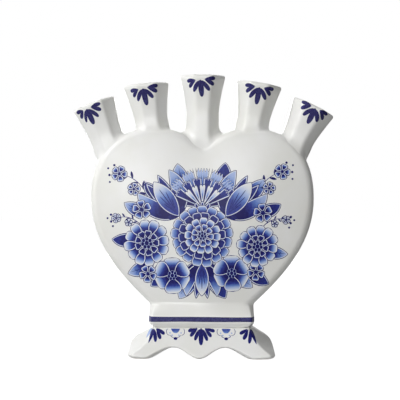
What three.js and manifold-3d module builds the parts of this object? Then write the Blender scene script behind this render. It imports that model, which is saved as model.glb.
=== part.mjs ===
// Heart-shaped tulip vase in tin-glazed earthenware.
//
// Two pressed half shells form a flat heart with a gently domed front and back. Five octagonal
// flower spouts stand on its lobes and in its cleft and open into the water space inside. The
// heart stands on a moulded plinth, closed by a floor slab, over a hollow bracket foot whose
// aprons are cut to a scalloped line.
//
// Millimetres, +Z up, front towards -Y. The origin is on the ground under the middle of the foot.

import * as THREE from 'three';
import { mergeVertices } from 'three/addons/utils/BufferGeometryUtils.js';
import Module from 'manifold-3d';

const wasm = await Module();
wasm.setup();

// Foot
const footHeight = 23.4;
const footHalfWidth = 57.4;
const footHalfDepth = 28;
const footWall = 6;
const footRoofWall = 9;
const footTopMargin = 1;
const soleRounding = 2.1;

// Scalloped apron, front and back
const padInnerX = 41.3;
const archPeakX = 20.5;
const archHeight = 9.2;
const dropClearance = 0.4;

// Plain arch in each end of the foot
const endArchHalfWidth = 10;
const endArchHeight = 6;

// Plinth
const plinthHeight = 18;
const plinthOverhang = 0.9;
const plinthUndercut = 1.6;
const noseBottom = 4.6;
const noseTop = 9;
const plinthWall = 6.6;
const plinthChamferX = 2.8;
const plinthChamferY = 4.2;
const seatGap = 0.3;

// Reservoir floor
const floorThickness = 4;

// Heart, with its heights measured up from the top of the plinth
const heartHalfWidth = 87.4;
const widestHeight = 83;
const lobeTopX = 39.2;
const lobeTopHeight = 137.7;
const cleftHeight = 121.4;
const tipDrop = 37.4;
const tipHandle = 48;
const tipAngle = 46.6;
const sideHandleLow = 54;
const sideHandleHigh = 45;
const lobeHandleOut = 18;
const lobeHandleIn = 22;
const cleftHandle = 17;
const cleftAngle = 45;
const heartEdgeThickness = 30;
const domeRise = 6;
const domeCentreHeight = 66;
const edgeRadius = 5;
const heartWall = 4.5;
const cavityRadius = 1.5;

// Octagonal spouts, measured across their flats from the axis
const rimHalf = 17.3;
const neckHalf = 12.9;
const flareLength = 28.6;
const flarePower = 1.35;
const baseSpread = 1;
const baseLength = 12;
const spoutWall = 4.2;
const lipWall = 3.6;
const lipRadius = 1.3;
const spoutSink = 12;

// Where each spout stands. seat is the distance of its axis from the side of the heart, where it
// crosses the heart's outline, and length runs from there to the rim. The vase is made by hand,
// so left and right differ a little.
const spoutPlaces = [
  { name: 'spout_far_left', side: -1, seat: 13.9, tilt: 21.5, length: 35.4 },
  { name: 'spout_left', side: -1, seat: 47.2, tilt: 8.4, length: 34.2 },
  { name: 'spout_centre', side: 1, seat: heartHalfWidth, tilt: 0, length: 57.8 },
  { name: 'spout_right', side: 1, seat: 48.4, tilt: 9.4, length: 35.6 },
  { name: 'spout_far_right', side: 1, seat: 14.9, tilt: 26.3, length: 35 },
];

// Facet counts
const curveSteps = 9;
const roundSteps = 4;
const domeSteps = 4;
const flareSteps = 5;
const arcSteps = 6;

// Derived heights and widths
const plinthTop = footHeight + plinthHeight;
const edgeHalf = heartEdgeThickness / 2;
const flatToCorner = 1 / Math.cos(Math.PI / 8);

// Materials
const glazeWhite = new THREE.MeshStandardMaterial({ color: '#ecece8', roughness: 0.16, metalness: 0 });
const innerGlaze = new THREE.MeshStandardMaterial({ color: '#e2e0da', roughness: 0.3, metalness: 0 });

// Solids and meshes

function toSolid(geometry) {
  geometry.deleteAttribute('normal');
  geometry.deleteAttribute('uv');
  const welded = mergeVertices(geometry, 1e-5);
  return new wasm.Manifold(new wasm.Mesh({
    numProp: 3,
    vertProperties: new Float32Array(welded.attributes.position.array),
    triVerts: new Uint32Array(welded.index.array),
  }));
}

function toMesh(name, solid, material) {
  const result = solid.getMesh();
  const geometry = new THREE.BufferGeometry();
  geometry.setAttribute('position', new THREE.BufferAttribute(result.vertProperties, 3));
  geometry.setIndex(new THREE.BufferAttribute(result.triVerts, 1));
  geometry.computeVertexNormals();
  const mesh = new THREE.Mesh(geometry, material);
  mesh.name = name;
  return mesh;
}

// Closed skin over rings of equal point count. The first ring is closed by a fan round its own
// middle and so is the last.
function skinRings(rings) {
  const count = rings[0].length;
  const middle = (ring) => ring
    .reduce((sum, point) => sum.add(point), new THREE.Vector3())
    .divideScalar(count);
  const points = [...rings.flat(), middle(rings[0]), middle(rings[rings.length - 1])];
  const first = points.length - 2;
  const last = points.length - 1;
  const index = [];
  for (let k = 0; k < count; k += 1) {
    const next = (k + 1) % count;
    const top = (rings.length - 1) * count;
    index.push(first, next, k, last, top + k, top + next);
    for (let r = 0; r < rings.length - 1; r += 1) {
      const low = r * count;
      const high = low + count;
      index.push(low + k, low + next, high + next, low + k, high + next, high + k);
    }
  }
  const geometry = new THREE.BufferGeometry().setFromPoints(points);
  geometry.setIndex(index);
  return toSolid(geometry);
}

// Heart outline

// Right-hand side of the heart, from the tip, past the widest point and the lobe, to the cleft.
function rightSideCurves() {
  const polar = (x, z, length, degrees) => {
    const angle = THREE.MathUtils.degToRad(degrees);
    return new THREE.Vector2(x + length * Math.cos(angle), z + length * Math.sin(angle));
  };
  const tip = new THREE.Vector2(0, -tipDrop);
  const side = new THREE.Vector2(heartHalfWidth, widestHeight);
  const lobe = new THREE.Vector2(lobeTopX, lobeTopHeight);
  const cleft = new THREE.Vector2(0, cleftHeight);
  return [
    new THREE.CubicBezierCurve(
      tip,
      polar(tip.x, tip.y, tipHandle, tipAngle),
      new THREE.Vector2(side.x, side.y - sideHandleLow),
      side,
    ),
    new THREE.CubicBezierCurve(
      side,
      new THREE.Vector2(side.x, side.y + sideHandleHigh),
      new THREE.Vector2(lobe.x + lobeHandleOut, lobe.y),
      lobe,
    ),
    new THREE.CubicBezierCurve(
      lobe,
      new THREE.Vector2(lobe.x - lobeHandleIn, lobe.y),
      polar(cleft.x, cleft.y, cleftHandle, cleftAngle),
      cleft,
    ),
  ];
}

// Whole outline, counter-clockwise from the tip, with heights above the ground.
function heartOutline() {
  const right = [];
  for (const curve of rightSideCurves()) {
    right.push(...curve.getPoints(curveSteps).slice(0, -1));
  }
  right.push(new THREE.Vector2(0, cleftHeight));
  const left = right.slice(1, -1).reverse().map((point) => new THREE.Vector2(-point.x, point.y));
  return [...right, ...left].map((point) => point.setY(point.y + plinthTop));
}

// The outline moved inwards by a distance, each point along the mitre of its two edges.
function insetOutline(outline, distance) {
  const count = outline.length;
  return outline.map((point, k) => {
    const before = point.clone().sub(outline[(k + count - 1) % count]).normalize();
    const after = outline[(k + 1) % count].clone().sub(point).normalize();
    const inwardBefore = new THREE.Vector2(-before.y, before.x);
    const inwardAfter = new THREE.Vector2(-after.y, after.x);
    const mitre = inwardBefore.clone().add(inwardAfter).normalize();
    return point.clone().addScaledVector(mitre, distance / mitre.dot(inwardAfter));
  });
}

const outline = heartOutline();

// Height of the heart's upper outline at a distance from its middle.
function lobeHeightAt(x) {
  const upper = rightSideCurves().slice(1).flatMap((curve) => curve.getPoints(40));
  const k = upper.findIndex((point) => point.x <= x);
  const [outer, inner] = [upper[Math.max(k - 1, 0)], upper[k]];
  const share = outer.x === inner.x ? 0 : (outer.x - x) / (outer.x - inner.x);
  return plinthTop + THREE.MathUtils.lerp(outer.y, inner.y, share);
}

// Full heart, its tip included, with rounded edges and domed faces. A positive inset shrinks it
// all round, for the water space, and a negative one grows it, for the gap under a spout.
function heartSolid(inset, radius) {
  const half = edgeHalf - inset;
  const base = insetOutline(outline, inset);
  const middle = new THREE.Vector2(0, plinthTop + domeCentreHeight);
  const layers = [];
  for (let k = 0; k <= roundSteps; k += 1) {
    const angle = (k / roundSteps) * (Math.PI / 2);
    const points = insetOutline(base, radius * (1 - Math.cos(angle)));
    layers.push({ points, y: half - radius + radius * Math.sin(angle) });
  }
  const flat = layers[layers.length - 1].points;
  for (let k = 1; k < domeSteps; k += 1) {
    const share = 1 - k / domeSteps;
    const points = flat.map((point) => middle.clone().lerp(point, share));
    layers.push({ points, y: half + domeRise * (1 - share * share) });
  }
  layers.push({ points: flat.map(() => middle), y: half + domeRise });
  const ring = ({ points, y }, sign) => points.map((p) => new THREE.Vector3(p.x, sign * y, p.y));
  const front = layers.slice(0, -1).reverse().map((layer) => ring(layer, -1));
  const back = layers.slice(0, -1).map((layer) => ring(layer, 1));
  const rings = [...front, ...back];
  return domedSkin(rings, middle, half + domeRise);
}

// Closed skin whose two end fans rise to the tops of the front and back domes.
function domedSkin(rings, middle, reach) {
  const count = rings[0].length;
  const points = [
    ...rings.flat(),
    new THREE.Vector3(middle.x, -reach, middle.y),
    new THREE.Vector3(middle.x, reach, middle.y),
  ];
  const frontTop = points.length - 2;
  const backTop = points.length - 1;
  const lastRing = (rings.length - 1) * count;
  const index = [];
  for (let k = 0; k < count; k += 1) {
    const next = (k + 1) % count;
    index.push(frontTop, k, next, backTop, lastRing + next, lastRing + k);
    for (let r = 0; r < rings.length - 1; r += 1) {
      const low = r * count;
      const high = low + count;
      index.push(low + k, high + next, low + next, low + k, high + k, high + next);
    }
  }
  const geometry = new THREE.BufferGeometry().setFromPoints(points);
  geometry.setIndex(index);
  return toSolid(geometry);
}

// A large box that keeps or cuts everything on one side of a plane.
function slab(sizeX, sizeY, sizeZ, x, y, z) {
  return toSolid(new THREE.BoxGeometry(sizeX, sizeY, sizeZ).translate(x, y, z));
}

const reach = 4 * heartHalfWidth;

// Spouts

// Half-width of a spout across its flats at a distance below its rim.
function spoutHalfAt(depth, length) {
  const flare = Math.max(0, 1 - depth / flareLength);
  const base = Math.max(0, 1 - (length - depth) / baseLength);
  return neckHalf + (rimHalf - neckHalf) * flare ** flarePower + baseSpread * Math.min(base, 1) ** 2;
}

// Distances below the rim at which the spout's outline has a point.
function spoutDepths(length) {
  const depths = [];
  for (let k = 1; k <= flareSteps; k += 1) {
    depths.push(lipRadius + (k / flareSteps) * (flareLength - lipRadius));
  }
  for (const depth of [length - baseLength, length - baseLength / 2, length]) {
    if (depth > flareLength + 1) {
      depths.push(depth);
    }
  }
  depths.push(length + spoutSink);
  return depths;
}

// Octagonal section turned round +Z, from points [half-width across flats, height].
function octagonSolid(profile) {
  const points = profile.map(([half, z]) => new THREE.Vector2(half * flatToCorner, z)).reverse();
  points.push(points[0].clone());
  return toSolid(new THREE.LatheGeometry(points, 8, Math.PI / 8).rotateX(Math.PI / 2));
}

// Spout with its bore, its rim at z = 0 and its foot below.
function spoutBody(length) {
  const outer = spoutDepths(length).map((depth) => [spoutHalfAt(depth, length), -depth]);
  const inner = spoutDepths(length).reverse().map((depth) => {
    const wall = THREE.MathUtils.lerp(lipWall, spoutWall, Math.min(depth / flareLength, 1));
    return [spoutHalfAt(depth, length) - wall, -depth];
  });
  const lipOuter = spoutHalfAt(lipRadius, length);
  const lipInner = lipOuter - lipWall;
  return octagonSolid([
    [lipInner + lipRadius, 0],
    [lipOuter - lipRadius, 0],
    [lipOuter, -lipRadius],
    ...outer,
    ...inner,
    [lipInner, -lipRadius],
  ]);
}

// The space that a spout's bore takes on its way through the wall of the heart.
function boreCutter(length) {
  const half = neckHalf - spoutWall;
  return octagonSolid([[0, -length / 2], [half, -length / 2], [half, -length - spoutSink], [0, -length - spoutSink]]);
}

// Moves a solid made at a spout's rim to the spout's place on the heart.
function atSpout(solid, place) {
  const angle = place.side * place.tilt;
  const radians = THREE.MathUtils.degToRad(angle);
  const seatX = heartHalfWidth - place.seat;
  return solid
    .rotate([0, angle, 0])
    .translate([
      place.side * seatX + place.length * Math.sin(radians),
      0,
      lobeHeightAt(seatX) + place.length * Math.cos(radians),
    ]);
}

// Heart halves

function heartShells() {
  const outer = heartSolid(0, edgeRadius);
  const cavity = heartSolid(heartWall, cavityRadius);
  let shell = outer.subtract(cavity);
  shell = shell.subtract(slab(reach, reach, reach, 0, 0, plinthTop - reach / 2));
  for (const place of spoutPlaces) {
    shell = shell.subtract(atSpout(boreCutter(place.length), place));
  }
  const frontHalf = shell.intersect(slab(reach, reach, 2 * reach, 0, -reach / 2, 0));
  const backHalf = shell.intersect(slab(reach, reach, 2 * reach, 0, reach / 2, 0));
  return [frontHalf, backHalf];
}

function spoutSolids() {
  const heart = heartSolid(-seatGap, edgeRadius);
  return spoutPlaces.map((place) => atSpout(spoutBody(place.length), place).subtract(heart));
}

// Plinth and floor

// Rectangle with cut corners at a height, counter-clockwise seen from above.
function cutRectangle(halfX, halfY, cutX, cutY, z) {
  const corners = [
    [halfX, -halfY + cutY],
    [halfX, halfY - cutY],
    [halfX - cutX, halfY],
    [-halfX + cutX, halfY],
    [-halfX, halfY - cutY],
    [-halfX, -halfY + cutY],
    [-halfX + cutX, -halfY],
    [halfX - cutX, -halfY],
  ];
  return corners.map(([x, y]) => new THREE.Vector3(x, y, z));
}

// Half-width of the heart where it is cut off by the plinth.
function waistHalfWidth() {
  const k = outline.findIndex((point) => point.y >= plinthTop);
  const share = (plinthTop - outline[k - 1].y) / (outline[k].y - outline[k - 1].y);
  return THREE.MathUtils.lerp(outline[k - 1].x, outline[k].x, share);
}

// Half-depth of the heart there, at the middle of its front.
function waistHalfDepth() {
  const share = domeCentreHeight / (domeCentreHeight + tipDrop);
  return edgeHalf + domeRise * (1 - share * share);
}

const waistX = waistHalfWidth();
const waistY = waistHalfDepth() + 0.4;
const noseX = waistX + plinthOverhang;
const noseY = waistY + plinthOverhang * 1.6;
const underX = waistX - plinthUndercut;
const underY = waistY + plinthUndercut / 2;
const openX = waistX - plinthWall;
const openY = waistY - plinthWall + 1.6;

function plinthSolid() {
  const section = (x, y, z) => cutRectangle(x, y, plinthChamferX, plinthChamferY, footHeight + z);
  const outer = skinRings([
    section(underX, underY, 0),
    section(noseX, noseY, noseBottom),
    section(noseX, noseY, noseTop),
    section(waistX, waistY, plinthHeight),
  ]);
  const bore = skinRings([section(openX, openY, -1), section(openX, openY, plinthHeight + 1)]);
  return outer.subtract(bore);
}

function floorSolid() {
  const x = openX - seatGap;
  const y = openY - seatGap;
  return skinRings([
    cutRectangle(x, y, plinthChamferX, plinthChamferY, footHeight),
    cutRectangle(x, y, plinthChamferX, plinthChamferY, footHeight + floorThickness),
  ]);
}

// Foot

// Sections of the foot from its top down: height, then how far the end and the front lie inside
// the widest line of the sole, and the width of the corner facet, which swells at the knee.
const footTopX = underX + footTopMargin;
const footTopY = underY + footTopMargin / 2;
const footSections = [
  { height: 1, spreadX: 0, spreadY: 0, facetX: 2.6, facetY: 3.6 },
  { height: 0.95, spreadX: 0.1, spreadY: 0.06, facetX: 5.2, facetY: 6.4 },
  { height: 0.82, spreadX: 0.38, spreadY: 0.17, facetX: 7.8, facetY: 9.6 },
  { height: 0.7, spreadX: 0.66, spreadY: 0.29, facetX: 10.4, facetY: 12.8 },
  { height: 0.56, spreadX: 0.83, spreadY: 0.44, facetX: 12.2, facetY: 14.6 },
  { height: 0.37, spreadX: 0.92, spreadY: 0.66, facetX: 9.6, facetY: 12 },
  { height: 0.2, spreadX: 0.97, spreadY: 0.86, facetX: 5.2, facetY: 7 },
  { height: 0.08, spreadX: 1, spreadY: 1, facetX: 3.4, facetY: 4.6 },
];

function footSection({ height, spreadX, spreadY, facetX, facetY }, wall) {
  return cutRectangle(
    THREE.MathUtils.lerp(footTopX, footHalfWidth, spreadX) - wall,
    THREE.MathUtils.lerp(footTopY, footHalfDepth, spreadY) - wall,
    facetX,
    facetY,
    footHeight * height,
  );
}

function footOuter() {
  const sole = cutRectangle(
    footHalfWidth - soleRounding,
    footHalfDepth - soleRounding,
    3,
    4,
    0,
  );
  return skinRings([sole, ...footSections.map((section) => footSection(section, 0)).reverse()]);
}

// Hollow under the foot, open below, and open above under the floor slab.
function footHollow() {
  const lower = footSections.slice(2).map((section) => footSection(
    { ...section, height: section.height - (section.height > 0.5 ? 0.12 : 0) },
    footWall,
  ));
  const sole = cutRectangle(footHalfWidth - footWall, footHalfDepth - footWall, 3, 4, -1);
  const roofX = footTopX - footRoofWall;
  const roofY = footTopY - footRoofWall;
  const roof = cutRectangle(roofX, roofY, 2.6, 3.6, footHeight + 1);
  return skinRings([sole, ...lower.reverse(), roof]);
}

// Scalloped opening in the front and back aprons: two arches with a drop between them.
function apronCutter() {
  const shape = new THREE.Shape();
  shape.moveTo(-padInnerX, -1);
  shape.lineTo(padInnerX, -1);
  shape.lineTo(padInnerX, 0);
  shape.bezierCurveTo(padInnerX - 4.3, 4.2, archPeakX + 7, archHeight, archPeakX, archHeight);
  shape.bezierCurveTo(archPeakX - 8, archHeight, 6.2, dropClearance, 0, dropClearance);
  shape.bezierCurveTo(-6.2, dropClearance, -archPeakX + 8, archHeight, -archPeakX, archHeight);
  shape.bezierCurveTo(-archPeakX - 7, archHeight, -padInnerX + 4.3, 4.2, -padInnerX, 0);
  const depth = 3 * footHalfDepth;
  const geometry = new THREE.ExtrudeGeometry(shape, { depth, bevelEnabled: false, curveSegments: arcSteps });
  return toSolid(geometry.translate(0, 0, -depth / 2).rotateX(Math.PI / 2));
}

function endArchCutter() {
  const shape = new THREE.Shape();
  shape.moveTo(-endArchHalfWidth, -1);
  shape.lineTo(endArchHalfWidth, -1);
  shape.lineTo(endArchHalfWidth, 0);
  shape.bezierCurveTo(endArchHalfWidth / 2, endArchHeight, endArchHalfWidth / 2, endArchHeight, 0, endArchHeight);
  shape.bezierCurveTo(-endArchHalfWidth / 2, endArchHeight, -endArchHalfWidth / 2, endArchHeight, -endArchHalfWidth, 0);
  const depth = 3 * footHalfWidth;
  const geometry = new THREE.ExtrudeGeometry(shape, { depth, bevelEnabled: false, curveSegments: arcSteps });
  return toSolid(geometry.translate(0, 0, -depth / 2).rotateX(Math.PI / 2).rotateZ(Math.PI / 2));
}

function footSolid() {
  return footOuter().subtract(footHollow()).subtract(apronCutter()).subtract(endArchCutter());
}

// Assembly

const vase = new THREE.Group();
const [frontHalf, backHalf] = heartShells();
vase.add(toMesh('heart_front', frontHalf, glazeWhite));
vase.add(toMesh('heart_back', backHalf, glazeWhite));
spoutSolids().forEach((solid, k) => vase.add(toMesh(spoutPlaces[k].name, solid, glazeWhite)));
vase.add(toMesh('plinth', plinthSolid(), glazeWhite));
vase.add(toMesh('reservoir_floor', floorSolid(), innerGlaze));
vase.add(toMesh('foot', footSolid(), glazeWhite));

export default vase;
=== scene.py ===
"""Heart-shaped tulip vase in tin-glazed earthenware, painted in cobalt blue.

Two pressed half shells make a flat heart with a gently domed front and back. Five octagonal
flower spouts grow out of its lobes and its cleft. The heart stands on a moulded plinth over a
hollow bracket foot with scalloped aprons.

Sizes are in millimetres, +Z up, front towards -Y, with the origin on the ground under the middle
of the foot. Each finished mesh is scaled to metres.
"""

from __future__ import annotations

import logging
import math
import random
from dataclasses import dataclass, field
from enum import Enum

import bmesh
import bpy
import numpy as np
from bmesh.types import BMesh, BMVert
from bpy.types import Material, Node, NodeSocket, NodeTree, Object
from mathutils import Matrix, Vector, geometry
from mathutils.bvhtree import BVHTree

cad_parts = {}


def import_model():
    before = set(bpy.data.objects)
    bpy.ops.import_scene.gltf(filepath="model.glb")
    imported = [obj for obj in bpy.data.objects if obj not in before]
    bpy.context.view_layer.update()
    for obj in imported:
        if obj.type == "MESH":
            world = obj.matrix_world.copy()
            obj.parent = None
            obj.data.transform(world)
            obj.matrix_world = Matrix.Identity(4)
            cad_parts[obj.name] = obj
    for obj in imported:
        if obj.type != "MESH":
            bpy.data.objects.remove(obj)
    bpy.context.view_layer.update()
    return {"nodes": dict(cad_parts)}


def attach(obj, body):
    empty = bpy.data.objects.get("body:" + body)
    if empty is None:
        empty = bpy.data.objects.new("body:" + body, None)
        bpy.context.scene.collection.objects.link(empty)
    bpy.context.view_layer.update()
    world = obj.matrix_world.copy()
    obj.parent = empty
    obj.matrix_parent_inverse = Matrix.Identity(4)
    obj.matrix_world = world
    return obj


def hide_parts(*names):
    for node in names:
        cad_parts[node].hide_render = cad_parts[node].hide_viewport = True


LOG = logging.getLogger("tulip_vase")

MM = 0.001
WELD = 1e-4
CORNER_STEPS = 4
SIDES = ((-1, "front"), (1, "back"))

Ring = list[Vector]


# Mesh helpers


def mix(a: float, b: float, share: float) -> float:
    """The value that lies a share of the way from a to b."""
    return a + (b - a) * share


def shares(steps: int) -> list[float]:
    """Even shares from 0 to 1 in that many steps."""
    return [k / steps for k in range(steps + 1)]


def quarter_turn(steps: int) -> list[tuple[float, float]]:
    """Sine and cosine at even steps through a quarter turn."""
    return [(math.sin(t * math.pi / 2), math.cos(t * math.pi / 2)) for t in shares(steps)]


def loft(rings: list[Ring], closed: bool = False) -> BMesh:
    """Skins rings of equal point count with one grid whose seam is merged.

    Args:
        rings: The rings in order. A ring whose points all agree closes that end with a pole.
        closed: Whether the last ring joins the first, as on a tube bent into itself.

    Returns:
        A closed mesh in millimetres with its faces pointing outwards.
    """
    rows = rings + rings[:1] if closed else rings
    count = len(rings[0])
    bm = bmesh.new()
    bmesh.ops.create_grid(bm, x_segments=count, y_segments=len(rows) - 1, size=1)
    bm.verts.ensure_lookup_table()
    for row, ring in enumerate(rows):
        for k in range(count + 1):
            bm.verts[row * (count + 1) + k].co = ring[k % count]
    bmesh.ops.remove_doubles(bm, verts=bm.verts, dist=WELD)
    bmesh.ops.recalc_face_normals(bm, faces=bm.faces)
    return bm


def soft_polygon(corners: Ring, softness: float, edge_steps: tuple[int, ...]) -> Ring:
    """Outline of a polygon whose corners are eased by short curves.

    Args:
        corners: The polygon's corners in order.
        softness: How far from its corner each curve starts.
        edge_steps: Steps along the edge that follows each corner.

    Returns:
        The outline's points, with the same count whatever the polygon's size.
    """
    points = []
    for k, corner in enumerate(corners):
        before, after = corners[k - 1], corners[(k + 1) % len(corners)]
        start = corner + (before - corner).normalized() * softness
        end = corner + (after - corner).normalized() * softness
        for t in shares(CORNER_STEPS):
            points.append((1 - t) ** 2 * start + 2 * t * (1 - t) * corner + t * t * end)
        next_start = after + (corner - after).normalized() * softness
        for share in shares(edge_steps[k])[1:-1]:
            points.append(end.lerp(next_start, share))
    return points


def cut_rectangle(half_x: float, half_y: float, cut_x: float, cut_y: float, z: float) -> Ring:
    """Corners of a level rectangle with cut corners, counter-clockwise from above.

    Args:
        half_x: Half of its width.
        half_y: Half of its depth.
        cut_x: How much of the width each cut takes.
        cut_y: How much of the depth each cut takes.
        z: Its height.

    Returns:
        The eight corners.
    """
    in_x, in_y = half_x - cut_x, half_y - cut_y
    right = [(half_x, -in_y), (half_x, in_y), (in_x, half_y)]
    left = [(-in_x, half_y), (-half_x, in_y), (-half_x, -in_y)]
    return [Vector((x, y, z)) for x, y in [*right, *left, (-in_x, -half_y), (in_x, -half_y)]]


def add_piece(
    bm: BMesh,
    name: str,
    materials: list[Material],
    replaces: str | None = None,
    sharp_degrees: float = 50,
) -> Object:
    """Turns a finished mesh in millimetres into a piece that rides on the vase.

    Args:
        bm: The mesh, which is freed.
        name: The piece's name.
        materials: Its finishes, in the order of its faces' material numbers.
        replaces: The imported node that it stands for, if it does.
        sharp_degrees: Edges that turn by more than this stay crisp.

    Returns:
        The new object, at the origin.
    """
    bmesh.ops.scale(bm, vec=(MM, MM, MM), verts=bm.verts)
    mesh = bpy.data.meshes.new(name)
    bm.to_mesh(mesh)
    bm.free()
    for material in materials:
        mesh.materials.append(material)
    mesh.shade_smooth()
    mesh.set_sharp_from_angle(angle=math.radians(sharp_degrees))
    piece = bpy.data.objects.new(name, mesh)
    bpy.context.scene.collection.objects.link(piece)
    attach(piece, "root")
    if replaces:
        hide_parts(replaces)
    LOG.info("%s: %d faces", name, len(mesh.polygons))
    return piece


def bore(piece: Object, cutters: list[BMesh]) -> None:
    """Cuts solids out of a finished piece, with the result applied.

    Args:
        piece: The piece, whose mesh is replaced.
        cutters: Closed solids in millimetres, which are kept.
    """
    joined = bmesh.new()
    for cutter in cutters:
        scratch = bpy.data.meshes.new("cutter")
        cutter.to_mesh(scratch)
        joined.from_mesh(scratch)
        bpy.data.meshes.remove(scratch)
    bmesh.ops.scale(joined, vec=(MM, MM, MM), verts=joined.verts)
    mesh = bpy.data.meshes.new("cutters")
    joined.to_mesh(mesh)
    joined.free()
    tool = bpy.data.objects.new("cutters", mesh)
    bpy.context.scene.collection.objects.link(tool)
    cut = piece.modifiers.new("bores", "BOOLEAN")
    cut.operation = "DIFFERENCE"
    cut.solver = "EXACT"
    cut.object = tool
    bpy.context.view_layer.update()
    graph = bpy.context.evaluated_depsgraph_get()
    result = bpy.data.meshes.new_from_object(piece.evaluated_get(graph))
    piece.modifiers.clear()
    old = piece.data
    piece.data = result
    result.name = old.name + "_bored"
    bpy.data.meshes.remove(old)
    bpy.data.objects.remove(tool)
    bpy.data.meshes.remove(mesh)


# Finishes


def colour(hex_value: str) -> tuple[float, float, float, float]:
    """Linear colour of an sRGB hex value, by the standard's curve, with an alpha of 1."""
    parts = [int(hex_value[k : k + 2], 16) / 255 for k in (1, 3, 5)]
    return (*(c / 12.92 if c <= 0.04045 else ((c + 0.055) / 1.055) ** 2.4 for c in parts), 1.0)


def per_mm(size: float) -> float:
    """Scale of a pattern on Object coordinates, in metres, whose features have a size in mm."""
    return 1 / (size * MM)


def blank_material(name: str) -> Material:
    """Starts a material.

    Args:
        name: The finish's name.

    Returns:
        The material, with an empty node tree.
    """
    material = bpy.data.materials.new(name)
    material.use_nodes = True
    material.node_tree.nodes.clear()
    return material


def add_node(
    tree: NodeTree,
    kind: str,
    inputs: dict | None = None,
    stops: dict[float, str] | None = None,
    **settings: object,
) -> Node:
    """Adds a shader node with its settings, and its inputs as values or links.

    Args:
        tree: The node tree.
        kind: The node's type name after "ShaderNode".
        inputs: For each named or numbered input a value, a socket, or a node whose first output
            feeds it.
        stops: The sRGB hex values of a colour ramp by their places.
        **settings: Attributes of the node itself.

    Returns:
        The new node.
    """
    node = tree.nodes.new("ShaderNode" + kind)
    for name, value in settings.items():
        setattr(node, name, value)
    for name, value in (inputs or {}).items():
        if isinstance(value, Node):
            tree.links.new(value.outputs[0], node.inputs[name])
        elif isinstance(value, NodeSocket):
            tree.links.new(value, node.inputs[name])
        else:
            node.inputs[name].default_value = value
    for number, (place, hex_value) in enumerate(sorted((stops or {}).items())):
        elements = node.color_ramp.elements
        element = elements[number] if number < len(elements) else elements.new(place)
        element.position = place
        element.color = colour(hex_value)
    return node


@dataclass(frozen=True)
class TinGlaze:
    """White tin glaze on earthenware, dipped and fired.

    The glaze is opaque and glossy. It lies a little unevenly over the pressed clay, clouds very
    slightly from thick to thin, and has a few pinholes where gas escaped in the kiln.
    """

    name: str = "tin_glaze"
    thick: str = "#ececea"
    thin: str = "#e8e8e3"
    pinhole: str = "#dad8d0"
    roughness: float = 0.3
    ior: float = 1.5
    cloud_mm: float = 26
    cloud_edges: tuple[float, float] = (0.35, 0.65)
    pinhole_mm: float = 7
    pinhole_edges: tuple[float, float] = (0.015, 0.035)
    ripple_mm: float = 9
    ripple_depth_mm: float = 0.4
    ripple_strength: float = 0.12

    def material(self) -> Material:
        """Makes the glaze.

        Returns:
            Its node material.
        """
        material = blank_material(self.name)
        tree = material.node_tree
        place = add_node(tree, "TexCoord").outputs["Object"]
        size = per_mm(self.cloud_mm)
        clouds = add_node(tree, "TexNoise", {"Vector": place, "Scale": size, "Detail": 3.0})
        stops = dict(zip(self.cloud_edges, (self.thin, self.thick)))
        body = add_node(tree, "ValToRGB", {"Fac": clouds}, stops)
        cells = add_node(tree, "TexVoronoi", {"Vector": place, "Scale": per_mm(self.pinhole_mm)})
        stops = dict(zip(self.pinhole_edges, ("#ffffff", "#000000")))
        holes = add_node(tree, "ValToRGB", {"Fac": cells}, stops)
        # Inputs 6 and 7 of this node are its two colours.
        layers = {0: holes, 6: body, 7: colour(self.pinhole)}
        base = add_node(tree, "Mix", layers, data_type="RGBA").outputs[2]
        size = per_mm(self.ripple_mm)
        ripple = add_node(tree, "TexNoise", {"Vector": place, "Scale": size, "Detail": 2.0})
        relief = {"Strength": self.ripple_strength, "Distance": self.ripple_depth_mm * MM}
        bump = add_node(tree, "Bump", {"Height": ripple, **relief})
        gloss = {"Roughness": self.roughness, "IOR": self.ior}
        shader = add_node(tree, "BsdfPrincipled", {"Base Color": base, "Normal": bump, **gloss})
        add_node(tree, "OutputMaterial", {"Surface": shader})
        return material


@dataclass(frozen=True)
class CobaltPaint:
    """Cobalt oxide brushed on the raw glaze and fired into it.

    Its depth follows the brush: the painted pieces carry it as the attribute "cobalt", from bare
    glaze at 0 to a full stroke at 1. The colour pools and thins in fine streaks, and the surface
    is as glossy as the glaze round it.
    """

    name: str = "cobalt_under_glaze"
    tones: tuple[str, ...] = ("#eeeeec", "#b4c5e8", "#6685ca", "#2f3c93", "#120e59")
    roughness: float = 0.3
    ior: float = 1.5
    gloss: float = 0.14
    streak_mm: float = 1.6
    streak_depth: float = 0.16

    def material(self) -> Material:
        """Makes the painting's finish.

        Returns:
            Its node material.
        """
        material = blank_material(self.name)
        tree = material.node_tree
        place = add_node(tree, "TexCoord").outputs["Object"]
        depth = add_node(tree, "Attribute", attribute_name="cobalt").outputs["Fac"]
        size = per_mm(self.streak_mm)
        streaks = add_node(tree, "TexNoise", {"Vector": place, "Scale": size, "Detail": 3.0})
        limits = {"To Min": 1 - self.streak_depth, "To Max": 1 + self.streak_depth}
        swing = add_node(tree, "MapRange", {"Value": streaks, **limits})
        uneven = add_node(tree, "Math", {0: depth, 1: swing}, operation="MULTIPLY")
        stops = dict(zip(shares(len(self.tones) - 1), self.tones))
        shade = add_node(tree, "ValToRGB", {"Fac": uneven}, stops)
        gloss = {"Roughness": self.roughness, "IOR": self.ior, "Specular IOR Level": self.gloss}
        shader = add_node(tree, "BsdfPrincipled", {"Base Color": shade, **gloss})
        add_node(tree, "OutputMaterial", {"Surface": shader})
        return material


# The stripe and the spouts are painted more thinly, which makes them greyer and more streaky.
THIN_COBALT = CobaltPaint(
    "thin_cobalt_under_glaze",
    ("#eeeeec", "#aab6d4", "#66749f", "#43457d", "#27245a"),
    streak_depth=0.3,
)


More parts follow.
